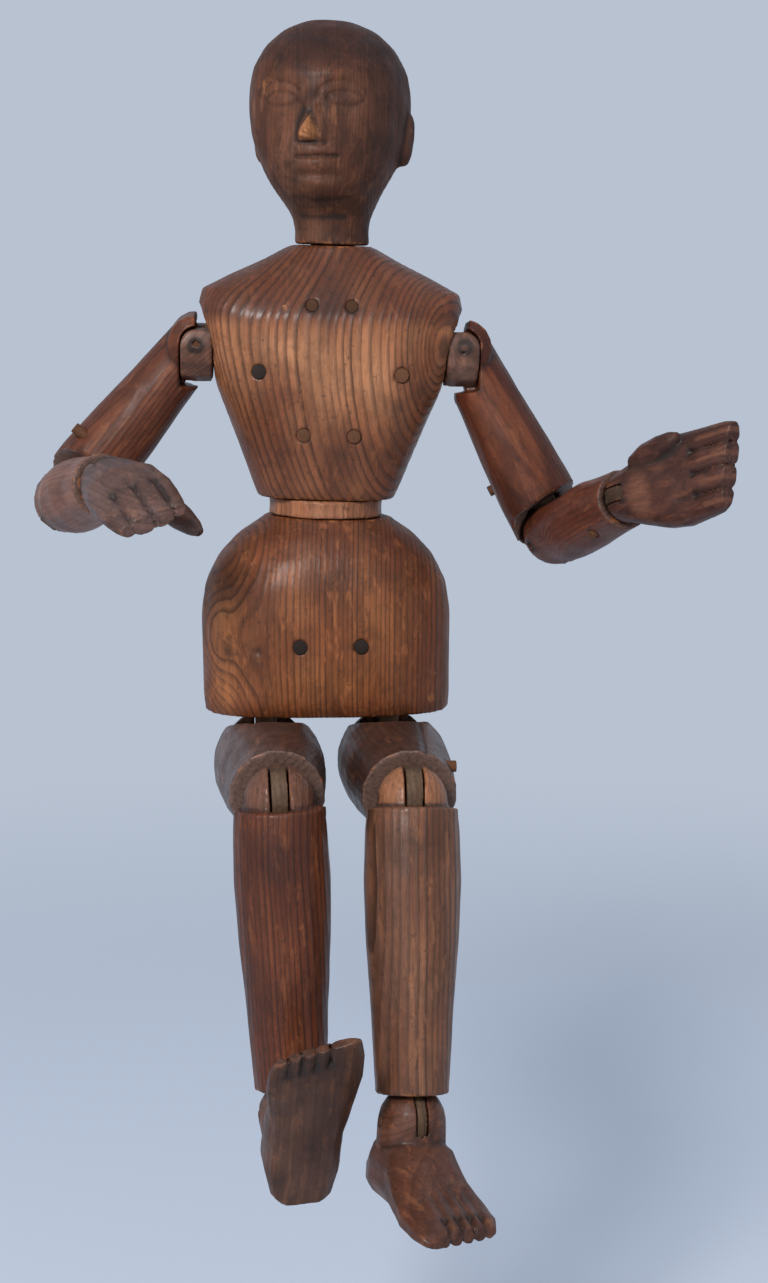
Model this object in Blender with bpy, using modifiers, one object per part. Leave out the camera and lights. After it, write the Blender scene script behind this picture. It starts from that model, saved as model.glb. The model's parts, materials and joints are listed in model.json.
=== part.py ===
"""Seated wooden artist mannequin: carved blocks joined by swivel pegs, cross pins and keeper dowels.

The figure faces -Y and its own left is +X. The origin is the middle of the underside of the pelvis.
Each limb joint is three nested empties: a seat fixed in the parent, a turn about the peg (local Z)
and a bend about the cross pin (local X). Positive bend swings the child towards local -Y.
"""

from math import acos, asin, copysign, cos, hypot, pi, radians, sin, tan

import bmesh
import bpy

# Clearances
GAP = 0.0004
PIN_GAP = 0.00015
BORE_GAP = 0.0003

# How far a keeper dowel stands out of a limb where it shows
NUB = 0.0012

# Pelvis
PELVIS_WIDTH = 0.118
PELVIS_DEPTH = 0.080
PELVIS_HEIGHT = 0.091
HIP_SPREAD = 0.058

# Waist spindle
WAIST_RADIUS = 0.0268
WAIST_BAND = 0.009
WAIST_PEG_RADIUS = 0.0115
WAIST_PEG_LENGTH = 0.042
WAIST_PLUG_LENGTH = 0.024
WAIST_PIN_RISE = 0.030
WAIST_PIN_RADIUS = 0.0028

# Torso
TORSO_WIDTH = 0.122
TORSO_DEPTH = 0.066
TORSO_HEIGHT = 0.116
TORSO_BASE_WIDTH = 0.066
SHOULDER_RISE = 0.0705
SHOULDER_FLOOR = 0.0535

# Head and neck
HEAD_WIDTH = 0.0728
HEAD_DEPTH = 0.088
HEAD_HEIGHT = 0.1015
HEAD_LEAN = 0.04
NECK_RADIUS = 0.0178
NECK_PEG_RADIUS = 0.009
NECK_PEG_LENGTH = 0.036
NECK_PIN_DROP = 0.027
NECK_PIN_RADIUS = 0.0024

# Limbs, each length from one cross pin to the next
UPPER_ARM_LENGTH = 0.097
UPPER_ARM_RADIUS = 0.0165
FOREARM_LENGTH = 0.081
FOREARM_RADIUS = 0.0165
FOREARM_GIRTH = {"R": 1.06, "L": 1.0}
FOREARM_BEVEL = 0.0138
HAND_LENGTH = 0.0645
HAND_WIDTH = 0.041
THIGH_LENGTH = 0.136
THIGH_RADIUS = 0.0258
THIGH_FACET = 0.0142
SHIN_LENGTH = 0.134
SHIN_RADIUS = 0.0210
SHIN_BEVEL = 0.0110
FOOT_LENGTH = 0.0865
FOOT_WIDTH = 0.041
FOOT_HEIGHT = 0.0345
HEEL_BACK = 0.0205
SOLE_FLAT = 0.0008
TOE_SLANT = 0.22

# Joints: knuckle radius, peg radius and length, tongue thickness, cross pin and keeper radius
SHOULDER_STUB_RADIUS = 0.019
SHOULDER_STUB_LENGTH = 0.0153
SHOULDER_HINGE_OUT = 0.0083
SHOULDER_PEG_RADIUS = 0.012
SHOULDER_PEG_LENGTH = 0.030
SHOULDER_TONGUE = 0.009
SHOULDER_PIN_RADIUS = 0.0026
SHOULDER_KEEPER_RADIUS = 0.0030
SHOULDER_KEEPER_IN = 0.021
SHOULDER_CAP_RADIUS = 0.0132
SHOULDER_CAP_END = 140.0
SHOULDER_REST = 0.6
ELBOW_KNUCKLE = 0.0158
ELBOW_PEG_RADIUS = 0.0090
ELBOW_PEG_LENGTH = 0.026
ELBOW_TONGUE = 0.0085
ELBOW_PIN_RADIUS = 0.0025
ELBOW_RIM = {"R": ((-0.0026, -0.0179), (0.0150, -0.0035)), "L": ((-0.0030, -0.0154), (0.0180, 0.0030))}
ELBOW_SLANT = {"R": 28.0, "L": 14.0}
ELBOW_CLEAR = 0.0007
ELBOW_SINK = 0.003
WRIST_KNUCKLE = 0.0125
WRIST_PEG_RADIUS = 0.0070
WRIST_PEG_LENGTH = 0.024
WRIST_TONGUE = 0.0065
WRIST_PIN_RADIUS = 0.0020
HIP_KNUCKLE = 0.0212
HIP_DROP = 0.0235
HIP_PEG_RADIUS = 0.0150
HIP_PEG_LENGTH = 0.046
HIP_TONGUE = 0.0098
HIP_PIN_RADIUS = 0.0030
HIP_KEEPER_RISE = 0.034
KNEE_KNUCKLE = 0.0153
KNEE_PEG_RADIUS = 0.0100
KNEE_PEG_LENGTH = 0.030
KNEE_TONGUE = 0.0075
KNEE_PIN_RADIUS = 0.0025
KNEE_SLANT = 22.0
ANKLE_KNUCKLE = 0.0145
ANKLE_PEG_RADIUS = 0.0080
ANKLE_PEG_LENGTH = 0.028
ANKLE_TONGUE = 0.0048
ANKLE_PIN_RADIUS = 0.0020

# The sitting pose, degrees, for the figure's right and left
WAIST_LEAN = 1.6
WAIST_TURN = -2.0
NECK_TURN = -16.0
POSE = {
    "R": {
        "shoulder_swing": -4.0, "shoulder_raise": 51.8, "elbow_turn": -5.0, "elbow_bend": 112.5,
        "wrist_turn": -120.0, "wrist_bend": 15.0, "hip_turn": -0.6, "hip_bend": 93.4,
        "knee_turn": 1.8, "knee_bend": 87.9, "ankle_turn": -8.0, "ankle_bend": -58.8,
    },
    "L": {
        "shoulder_swing": -3.0, "shoulder_raise": 61.0, "elbow_turn": -23.0, "elbow_bend": 94.6,
        "wrist_turn": 64.0, "wrist_bend": -18.0, "hip_turn": 0.0, "hip_bend": 93.0,
        "knee_turn": -1.2, "knee_bend": 79.0, "ankle_turn": -14.4, "ankle_bend": 8.0,
    },
}

# The hands as shares of hand length and width: palm stations of distance, half width, middle, half
# thickness and squareness, where the fingers part, how their tips slant, and the thumb's length,
# place and two angles.
# The right hand is half closed, the left one open.
HAND_SHAPE = {
    "R": {
        "palm": (
            (0.16, 0.380, 0.0, 0.300, 2.1), (0.34, 0.440, -0.01, 0.285, 2.2),
            (0.50, 0.450, -0.05, 0.240, 2.3), (0.62, 0.430, -0.11, 0.190, 2.4),
            (0.72, 0.400, -0.18, 0.140, 2.5), (0.78, 0.370, -0.22, 0.095, 2.5),
        ),
        "split": 0.56, "slant": 0.10, "thumb_length": 0.48, "thumb_at": (0.30, -0.17, 0.26, 36.0, 20.0),
    },
    "L": {
        "palm": (
            (0.16, 0.385, 0.0, 0.273, 2.3), (0.34, 0.470, 0.0, 0.224, 2.6),
            (0.50, 0.500, 0.012, 0.195, 2.8), (0.62, 0.485, 0.012, 0.171, 3.0),
            (0.90, 0.460, -0.049, 0.141, 3.0), (0.97, 0.430, -0.073, 0.102, 3.0),
        ),
        "split": 0.66, "slant": 0.30, "thumb_length": 0.47, "thumb_at": (0.28, -0.10, 0.12, 4.0, 12.0),
    },
}

# Furthest bend of a one-way knuckle, where its slot ends in front and the tongue's round end,
# both as shares of the knuckle
MOST_BEND = 122.0
SLOT_FLOOR = 0.2
TONGUE_FILL = 0.97

LIMB_SIDES = 16
TRUNK_SIDES = 24
PEG_STEPS = 14
PIN_SIDES = 12
BORE_SIDES = 18


for old in list(bpy.data.objects):
    bpy.data.objects.remove(old, do_unlink=True)

figure = bpy.data.collections.new("wooden_artist_mannequin")
cutters = bpy.data.collections.new("cutters")
cutters.hide_render = True
bpy.context.scene.collection.children.link(figure)
bpy.context.scene.collection.children.link(cutters)


def wood(name, colour, roughness):
    """A plain Principled wood in one colour."""
    material = bpy.data.materials.new(name)
    material.use_nodes = True
    shader = material.node_tree.nodes["Principled BSDF"]
    shader.inputs["Base Color"].default_value = (*colour, 1.0)
    shader.inputs["Roughness"].default_value = roughness
    return material


STAINED = wood("stained_wood", (0.20, 0.075, 0.03), 0.45)
RAW = wood("raw_wood", (0.36, 0.19, 0.10), 0.60)
DOWEL = wood("dowel_wood", (0.09, 0.045, 0.025), 0.55)


def empty(name, parent, location=(0, 0, 0), rotation=(0, 0, 0)):
    """An empty that carries a frame of the figure; rotation in degrees."""
    obj = bpy.data.objects.new(name, None)
    obj.empty_display_size = 0.01
    figure.objects.link(obj)
    obj.parent = parent
    obj.location = location
    obj.rotation_euler = [radians(angle) for angle in rotation]
    return obj


def put(obj, parent, location, rotation, look):
    """Links an object as a part, or as a hidden cutter where look is None."""
    if look is None:
        cutters.objects.link(obj)
        obj.hide_render = True
        obj.display_type = "WIRE"
    else:
        figure.objects.link(obj)
        obj.data.materials.append(look)
    obj.parent = parent
    obj.location = location
    obj.rotation_euler = [radians(angle) for angle in rotation]
    return obj


def from_bmesh(name, bm, parent, location=(0, 0, 0), rotation=(0, 0, 0), look=None):
    bmesh.ops.recalc_face_normals(bm, faces=bm.faces)
    mesh = bpy.data.meshes.new(name)
    bm.to_mesh(mesh)
    bm.free()
    return put(bpy.data.objects.new(name, mesh), parent, location, rotation, look)


def carve(obj, tool, how="DIFFERENCE"):
    """Cuts a tool out of a part, or joins it on."""
    step = obj.modifiers.new(how.lower(), "BOOLEAN")
    step.operation = how
    step.solver = "EXACT"
    step.object = tool


def skin(rings):
    """A closed body lofted through rings of equally many points."""
    bm = bmesh.new()
    rows = [[bm.verts.new(point) for point in ring] for ring in rings]
    count = len(rows[0])
    for low, high in zip(rows, rows[1:]):
        for i in range(count):
            j = (i + 1) % count
            bm.faces.new((low[i], low[j], high[j], high[i]))
    bm.faces.new(rows[0][::-1])
    bm.faces.new(rows[-1])
    return bm


def bow(value, power):
    return copysign(abs(value) ** (2.0 / power), value)


def oval(z, half_x, front, back, power, sides):
    """One level section: half width, front and back reach, squareness of the corners."""
    middle = (front + back) / 2
    half_y = (back - front) / 2
    ring = []
    for i in range(sides):
        turn = 2 * pi * (i + 0.5) / sides
        ring.append((half_x * bow(cos(turn), power), middle + half_y * bow(sin(turn), power), z))
    return ring


def carved(stations, sides=TRUNK_SIDES):
    """A carved block from stations of height, half width, front, back and squareness."""
    return skin([oval(*station, sides) for station in stations])


def round_limb(stations, sides=LIMB_SIDES):
    """A limb from stations of distance along it, half width and half depth."""
    return skin([oval(z, half_x, -half_y, half_y, 2.0, sides) for z, half_x, half_y in stations])


def dome(radius, steps, until=0.0):
    """Stations over the rounded end of a knuckle, from its tip to a height under the cross pin."""
    stations = []
    for i in range(steps):
        turn = radians(9) + radians(81) * i / (steps - 1)
        stations.append((-radius * cos(turn), radius * sin(turn), radius * sin(turn)))
    if until > 0:
        stations.append((until, radius, radius))
    return stations


def rod(radius, length, sides=PIN_SIDES):
    bm = bmesh.new()
    bmesh.ops.create_cone(bm, cap_ends=True, segments=sides, radius1=radius, radius2=radius, depth=length)
    return bm


def block(size_x, size_y, size_z):
    bm = bmesh.new()
    bmesh.ops.create_cube(bm, size=1)
    bmesh.ops.scale(bm, vec=(size_x, size_y, size_z), verts=bm.verts)
    return bm


def ball(radius):
    bm = bmesh.new()
    bmesh.ops.create_uvsphere(bm, u_segments=LIMB_SIDES, v_segments=LIMB_SIDES // 2, radius=radius)
    return bm


def plate(outline, thick):
    """A flat plate across X with its outline given in Y and Z."""
    return skin([[(x, y, z) for y, z in outline] for x in (-thick / 2, thick / 2)])


def wedge(steps, thick):
    """A cutter that takes flats off a limb's -Y side, from steps of distance along it and depth left."""
    outside = -4 * max(deep for _, deep in steps)
    inner = [(-deep, along) for along, deep in reversed(steps)]
    return plate([(outside, steps[0][0]), (outside, steps[-1][0])] + inner, thick)


def turned(name, profile, parent, look, location=(0, 0, 0), rotation=(0, 0, 0)):
    """A turned body from a profile of radius and height, listed from its top to its bottom."""
    bm = bmesh.new()
    points = [bm.verts.new((r, 0, z)) for r, z in profile]
    for first, second in zip(points, points[1:]):
        bm.edges.new((first, second))
    mesh = bpy.data.meshes.new(name)
    bm.to_mesh(mesh)
    bm.free()
    obj = put(bpy.data.objects.new(name, mesh), parent, location, rotation, look)
    screw = obj.modifiers.new("turn", "SCREW")
    screw.axis = "Z"
    screw.steps = PEG_STEPS
    screw.render_steps = PEG_STEPS
    screw.use_merge_vertices = True
    screw.merge_threshold = 0.00005
    return obj


def peg_profile(radius, top, length, groove_at, keeper):
    """A peg that hangs down from top, with a groove for a keeper dowel."""
    groove = radius - keeper * 1.05
    half = keeper + PIN_GAP
    return [
        (0, top), (radius, top), (radius, groove_at + half), (groove, groove_at + half),
        (groove, groove_at - half), (radius, groove_at - half), (radius, top - length), (0, top - length),
    ]


def keeper_reach(radius, keeper):
    """How far a keeper dowel's centre stands from the axis of the peg that it keeps."""
    return radius - keeper * 1.05 + keeper + PIN_GAP


def tongue_outline(disc, neck, foot):
    """A tongue with a round disc about the cross pin and a neck, no wider, down to foot."""
    low = acos(neck / disc)
    turns = [-low + (pi + 2 * low) * i / 14 for i in range(15)]
    return [(disc * cos(turn), disc * sin(turn)) for turn in turns] + [(-neck, foot), (neck, foot)]


def dowel(name, radius, length, parent, centre, rotation, hosts):
    """A dowel along its own Z with a close hole for it in each host."""
    pin = from_bmesh(name, rod(radius, length), parent, centre, rotation, DOWEL)
    hole = from_bmesh(name + "_hole", rod(radius + PIN_GAP, length + 2 * GAP), parent, centre, rotation)
    for host in hosts:
        carve(host, hole)
    return pin


class Joint:
    """The three nested frames of one limb joint."""

    def __init__(self, side, name, parent, location, rotation, turn, bend):
        self.name = name
        self.side = side
        self.seat = empty(f"{name}_seat_{side}", parent, location, rotation)
        self.turn = empty(f"{name}_turn_{side}", self.seat, (0, 0, 0), (0, 0, turn))
        self.bend = empty(f"{name}_bend_{side}", self.turn, (0, 0, 0), (bend, 0, 0))


def paddle(joint, host, knuckle, sink, radius, length, tongue, pin, keeper_back, way, shift_way, keeper_out):
    """A swivel: grooved peg in the host's bore, and a tongue out to the cross pin. Returns the swivel.

    The keeper dowel comes in from one side of the host, stops past the peg, and lies in its groove.
    """
    side = joint.side
    top = knuckle + 2 * GAP + sink
    groove_at = -(knuckle + keeper_back)
    profile = peg_profile(radius, -top, length, groove_at, pin)
    swivel = turned(f"{joint.name}_swivel_{side}", profile, joint.turn, RAW)
    shape = plate(tongue_outline(TONGUE_FILL * knuckle, tongue_half(radius), -top - radius * 0.3), tongue)
    carve(swivel, from_bmesh(f"{joint.name}_tongue_{side}", shape, joint.turn), "UNION")
    bore = from_bmesh(
        f"{joint.name}_bore_{side}", rod(radius + BORE_GAP, length + 2 * knuckle, BORE_SIDES),
        joint.seat, (0, 0, knuckle - top - length / 2 - GAP),
    )
    carve(host, bore)
    shift = shift_way * keeper_reach(radius, pin)
    inner = -0.9 * radius
    along = (keeper_out + inner) / 2
    if way[1] == "x":
        centre = (along, shift, groove_at)
        turn = (0, 90, 0)
    else:
        centre = (shift, along, groove_at)
        turn = (90, 0, 0)
    if way[0] == "-":
        centre = (-centre[0], -centre[1], groove_at)
    dowel(f"{joint.name}_keeper_{side}", pin, keeper_out - inner, joint.seat, centre, turn, [host])
    return swivel


def tongue_half(radius):
    """Half the width of the tongue on a peg."""
    return radius * 0.84


def knuckle_cuts(joint, child, swivel, knuckle, tongue, disc, neck, pin, both_ways, proud=-0.001):
    """The slot in a child's knuckle for the tongue's disc and neck, and the cross pin through both."""
    reach = disc + GAP
    slack = neck + GAP
    far = 3 * knuckle
    floor = SLOT_FLOOR * knuckle
    start = asin(floor / reach)
    if both_ways:
        end = pi - start
        last = (-far, floor)
    else:
        over = radians(MOST_BEND - 90)
        end = pi / 2 - over + acos(slack / reach)
        last = (slack * sin(over) - far * cos(over), slack * cos(over) + far * sin(over))
    turns = [start + (end - start) * i / 10 for i in range(11)]
    outline = [(far, -far), (far, floor)]
    outline += [(reach * cos(turn), reach * sin(turn)) for turn in turns]
    outline += [last, (-far, -far)]
    slot = from_bmesh(f"{joint.name}_slot_{joint.side}", plate(outline, tongue + 2 * GAP), joint.bend)
    carve(child, slot)
    dowel(
        f"{joint.name}_pin_{joint.side}", pin, 2 * (knuckle + proud), joint.bend, (0, 0, 0), (0, 90, 0),
        [child, swivel],
    )


def slanted_end(joint, host, rim, slant, cup):
    """Cuts a host's end by a slanted face and hollows it round the child's knuckle.

    The rim is given as two corners in Y and Z; the face falls away from the first one where the child
    bends, and is level beyond the second one.
    """
    far = 6 * cup
    (front_y, front_z), (back_y, back_z) = rim
    outline = [
        (-far, front_z - (far + front_y) * tan(radians(slant))), (front_y, front_z), (back_y, back_z),
        (far, back_z), (far, far), (-far, far),
    ]
    carve(host, from_bmesh(f"{joint.name}_trim_{joint.side}", plate(outline, far), joint.turn))
    hollow_end(joint, host, cup)


def coned_end(joint, host, plane, slope, cup):
    """Cuts a host's end to a shallow cone, so that the child clears it at any turn, and hollows it."""
    reach = 4 * cup
    trim = [
        [
            (rho * cos(2 * pi * i / LIMB_SIDES), rho * sin(2 * pi * i / LIMB_SIDES), z)
            for i in range(LIMB_SIDES)
        ]
        for rho, z in ((GAP, -plane), (reach, -plane - reach * tan(radians(slope))), (reach, reach))
    ]
    carve(host, from_bmesh(f"{joint.name}_trim_{joint.side}", skin(trim), joint.seat))
    hollow_end(joint, host, cup)


def hollow_end(joint, host, cup):
    """Hollows a host's end round the child's knuckle."""
    hollow = from_bmesh(
        f"{joint.name}_cup_{joint.side}", ball(cup + 2 * GAP), joint.seat, (0, 0, 0), (0, 90, 0)
    )
    carve(host, hollow)


# Trunk frames
pelvis_frame = empty("pelvis_frame", None)
waist_frame = empty("waist_seat", pelvis_frame, (0, 0, PELVIS_HEIGHT), (0, WAIST_LEAN, 0))
torso_frame = empty("waist_turn", waist_frame, (0, 0, WAIST_BAND), (0, 0, WAIST_TURN))
neck_frame = empty("neck_turn", torso_frame, (0, 0, TORSO_HEIGHT), (0, 0, NECK_TURN))

# Pelvis
PELVIS_STATIONS = [
    (z * PELVIS_HEIGHT, w * PELVIS_WIDTH, -f * PELVIS_DEPTH, b * PELVIS_DEPTH, power)
    for z, w, f, b, power in (
        (0.0, 0.486, 0.44, 0.45, 2.9), (0.05, 0.494, 0.475, 0.47, 2.8), (0.25, 0.496, 0.50, 0.50, 2.6),
        (0.50, 0.500, 0.505, 0.50, 2.5), (0.66, 0.483, 0.49, 0.47, 2.4), (0.80, 0.430, 0.45, 0.43, 2.3),
        (0.91, 0.350, 0.39, 0.38, 2.2), (0.97, 0.280, 0.34, 0.345, 2.1), (1.02, 0.225, 0.31, 0.315, 2.0),
    )
]
pelvis = from_bmesh("pelvis", carved(PELVIS_STATIONS), pelvis_frame, look=STAINED)


def front_at(stations, height, across):
    """How far forward a carved block's surface lies at a height, and at a distance from its middle."""
    for low, high in zip(stations, stations[1:]):
        if low[0] <= height <= high[0]:
            share = (height - low[0]) / (high[0] - low[0])
            half_x, front, back, power = (a + (b - a) * share for a, b in zip(low[1:], high[1:]))
            rise = (1 - min(0.999, abs(across) / half_x) ** power) ** (1 / power)
            return (front + back) / 2 - (back - front) / 2 * rise
    return stations[0][2]


# Waist spindle: glued in the pelvis, the torso turns on its grooved peg
waist_groove = WAIST_PEG_RADIUS - WAIST_PIN_RADIUS * 1.05
waist_half = WAIST_PIN_RADIUS + PIN_GAP
waist_pin_z = WAIST_BAND + WAIST_PIN_RISE
spindle = turned(
    "waist_spindle",
    [
        (0, WAIST_BAND + WAIST_PEG_LENGTH), (WAIST_PEG_RADIUS, WAIST_BAND + WAIST_PEG_LENGTH),
        (WAIST_PEG_RADIUS, waist_pin_z + waist_half), (waist_groove, waist_pin_z + waist_half),
        (waist_groove, waist_pin_z - waist_half), (WAIST_PEG_RADIUS, waist_pin_z - waist_half),
        (WAIST_PEG_RADIUS, WAIST_BAND - GAP), (WAIST_RADIUS, WAIST_BAND - GAP),
        (WAIST_RADIUS * 0.985, WAIST_BAND / 2), (WAIST_RADIUS, GAP), (WAIST_PEG_RADIUS, GAP),
        (WAIST_PEG_RADIUS, -WAIST_PLUG_LENGTH), (0, -WAIST_PLUG_LENGTH),
    ],
    waist_frame, RAW,
)
plug_length = WAIST_PLUG_LENGTH + 2 * GAP
plug_hole = from_bmesh(
    "waist_plug_hole", rod(WAIST_PEG_RADIUS + BORE_GAP, 2 * plug_length, BORE_SIDES), waist_frame
)
carve(pelvis, plug_hole)
level = block(PELVIS_WIDTH, PELVIS_DEPTH, WAIST_BAND)
carve(pelvis, from_bmesh("waist_level", level, waist_frame, (0, 0, WAIST_BAND / 2)))

# Torso: flat chest that tapers to the waist, roof of the shoulders up to the collar
base_share = TORSO_BASE_WIDTH / TORSO_WIDTH
TORSO_STATIONS = [
    (z * TORSO_HEIGHT, w * TORSO_WIDTH / 2, -f * TORSO_DEPTH, b * TORSO_DEPTH, power)
    for z, w, f, b, power in (
        (0.0, base_share * 0.955, 0.385, 0.385, 2.7), (0.025, base_share, 0.41, 0.405, 2.8),
        (0.22, base_share + 0.145, 0.455, 0.445, 3.0), (0.43, base_share + 0.31, 0.485, 0.475, 3.3),
        (0.60, base_share + 0.40, 0.50, 0.50, 3.6), (0.72, 0.985, 0.495, 0.50, 3.8),
        (0.765, 1.0, 0.465, 0.485, 3.8), (0.82, 0.975, 0.42, 0.44, 3.4), (0.88, 0.76, 0.365, 0.38, 2.8),
        (0.945, 0.50, 0.315, 0.33, 2.3), (1.0, 2 * NECK_RADIUS * 1.06 / TORSO_WIDTH, 0.282, 0.29, 2.0),
    )
]
torso = from_bmesh("torso", carved(TORSO_STATIONS, 28), torso_frame, look=STAINED)
waist_bore = from_bmesh(
    "waist_bore", rod(WAIST_PEG_RADIUS + BORE_GAP, 2 * (WAIST_PEG_LENGTH + GAP), BORE_SIDES), torso_frame
)
carve(torso, waist_bore)
neck_bore = from_bmesh(
    "neck_bore", rod(NECK_PEG_RADIUS + BORE_GAP, 2 * (NECK_PEG_LENGTH + GAP), BORE_SIDES), torso_frame,
    (0, 0, TORSO_HEIGHT),
)
carve(torso, neck_bore)


def trunk_dowels(name, radius, peg, height, stations, frame, host):
    """The pair of dowels either side of a trunk peg, flush with the front."""
    reach = keeper_reach(peg, radius)
    for side, sign in (("R", -1), ("L", 1)):
        front = front_at(stations, height, reach) - 0.0004
        back = peg + 0.004
        dowel(
            f"{name}_{side}", radius, back - front, frame, (sign * reach, (back + front) / 2, height),
            (90, 0, 0), [host],
        )


trunk_dowels(
    "waist_pin", WAIST_PIN_RADIUS, WAIST_PEG_RADIUS, WAIST_PIN_RISE, TORSO_STATIONS, torso_frame, torso
)
neck_pin_z = TORSO_HEIGHT - NECK_PIN_DROP
trunk_dowels("neck_pin", NECK_PIN_RADIUS, NECK_PEG_RADIUS, neck_pin_z, TORSO_STATIONS, torso_frame, torso)

# Head and neck in one piece, on a grooved tenon
HEAD_STATIONS = [
    (z * HEAD_HEIGHT, w * HEAD_WIDTH, -f * HEAD_DEPTH, b * HEAD_DEPTH, power)
    for z, w, f, b, power in (
        (GAP / HEAD_HEIGHT, NECK_RADIUS / HEAD_WIDTH, 0.203, 0.203, 2.0), (0.06, 0.234, 0.199, 0.20, 2.0),
        (0.13, 0.252, 0.222, 0.215, 2.0), (0.175, 0.288, 0.285, 0.24, 2.0),
        (0.215, 0.318, 0.365, 0.265, 2.0), (0.255, 0.349, 0.418, 0.29, 2.1),
        (0.31, 0.390, 0.447, 0.33, 2.2), (0.38, 0.437, 0.460, 0.385, 2.2),
        (0.47, 0.477, 0.468, 0.445, 2.3), (0.57, 0.497, 0.475, 0.50, 2.3), (0.67, 0.500, 0.478, 0.525, 2.2),
        (0.78, 0.475, 0.455, 0.52, 2.2), (0.88, 0.402, 0.375, 0.45, 2.1), (0.955, 0.290, 0.250, 0.33, 2.0),
        (1.0, 0.135, 0.10, 0.17, 2.0),
    )
]
head_rings = [
    [(x - HEAD_LEAN * z, y, z) for x, y, z in oval(*station, 22)] for station in HEAD_STATIONS
]
head = from_bmesh("head", skin(head_rings), neck_frame, look=STAINED)
neck_tenon = turned(
    "neck_tenon",
    peg_profile(NECK_PEG_RADIUS, 0.012, NECK_PEG_LENGTH + 0.012, -NECK_PIN_DROP, NECK_PIN_RADIUS),
    neck_frame, None,
)
carve(head, neck_tenon, "UNION")
nose = skin([
    oval(z * HEAD_HEIGHT, w * HEAD_WIDTH, -f * HEAD_DEPTH, -0.36 * HEAD_DEPTH, 2.0, 10)
    for z, w, f in (
        (0.45, 0.050, 0.50), (0.462, 0.070, 0.532), (0.49, 0.064, 0.540),
        (0.53, 0.045, 0.515), (0.575, 0.030, 0.485),
    )
])
carve(head, from_bmesh("nose", nose, neck_frame, (-0.5 * HEAD_LEAN * HEAD_HEIGHT, 0, 0)), "UNION")
for ear_side, sign in (("R", -1), ("L", 1)):
    ear = round_limb([
        (z * HEAD_HEIGHT, thick * HEAD_WIDTH, deep * HEAD_DEPTH)
        for z, thick, deep in (
            (0.36, 0.03, 0.035), (0.41, 0.05, 0.06), (0.49, 0.062, 0.075),
            (0.56, 0.055, 0.07), (0.60, 0.03, 0.04),
        )
    ], 10)
    ear_place = (sign * 0.437 * HEAD_WIDTH - 0.5 * HEAD_LEAN * HEAD_HEIGHT, 0.06 * HEAD_DEPTH, 0)
    carve(head, from_bmesh(f"ear_{ear_side}", ear, neck_frame, ear_place, (0, sign * 3, 0)), "UNION")


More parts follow.
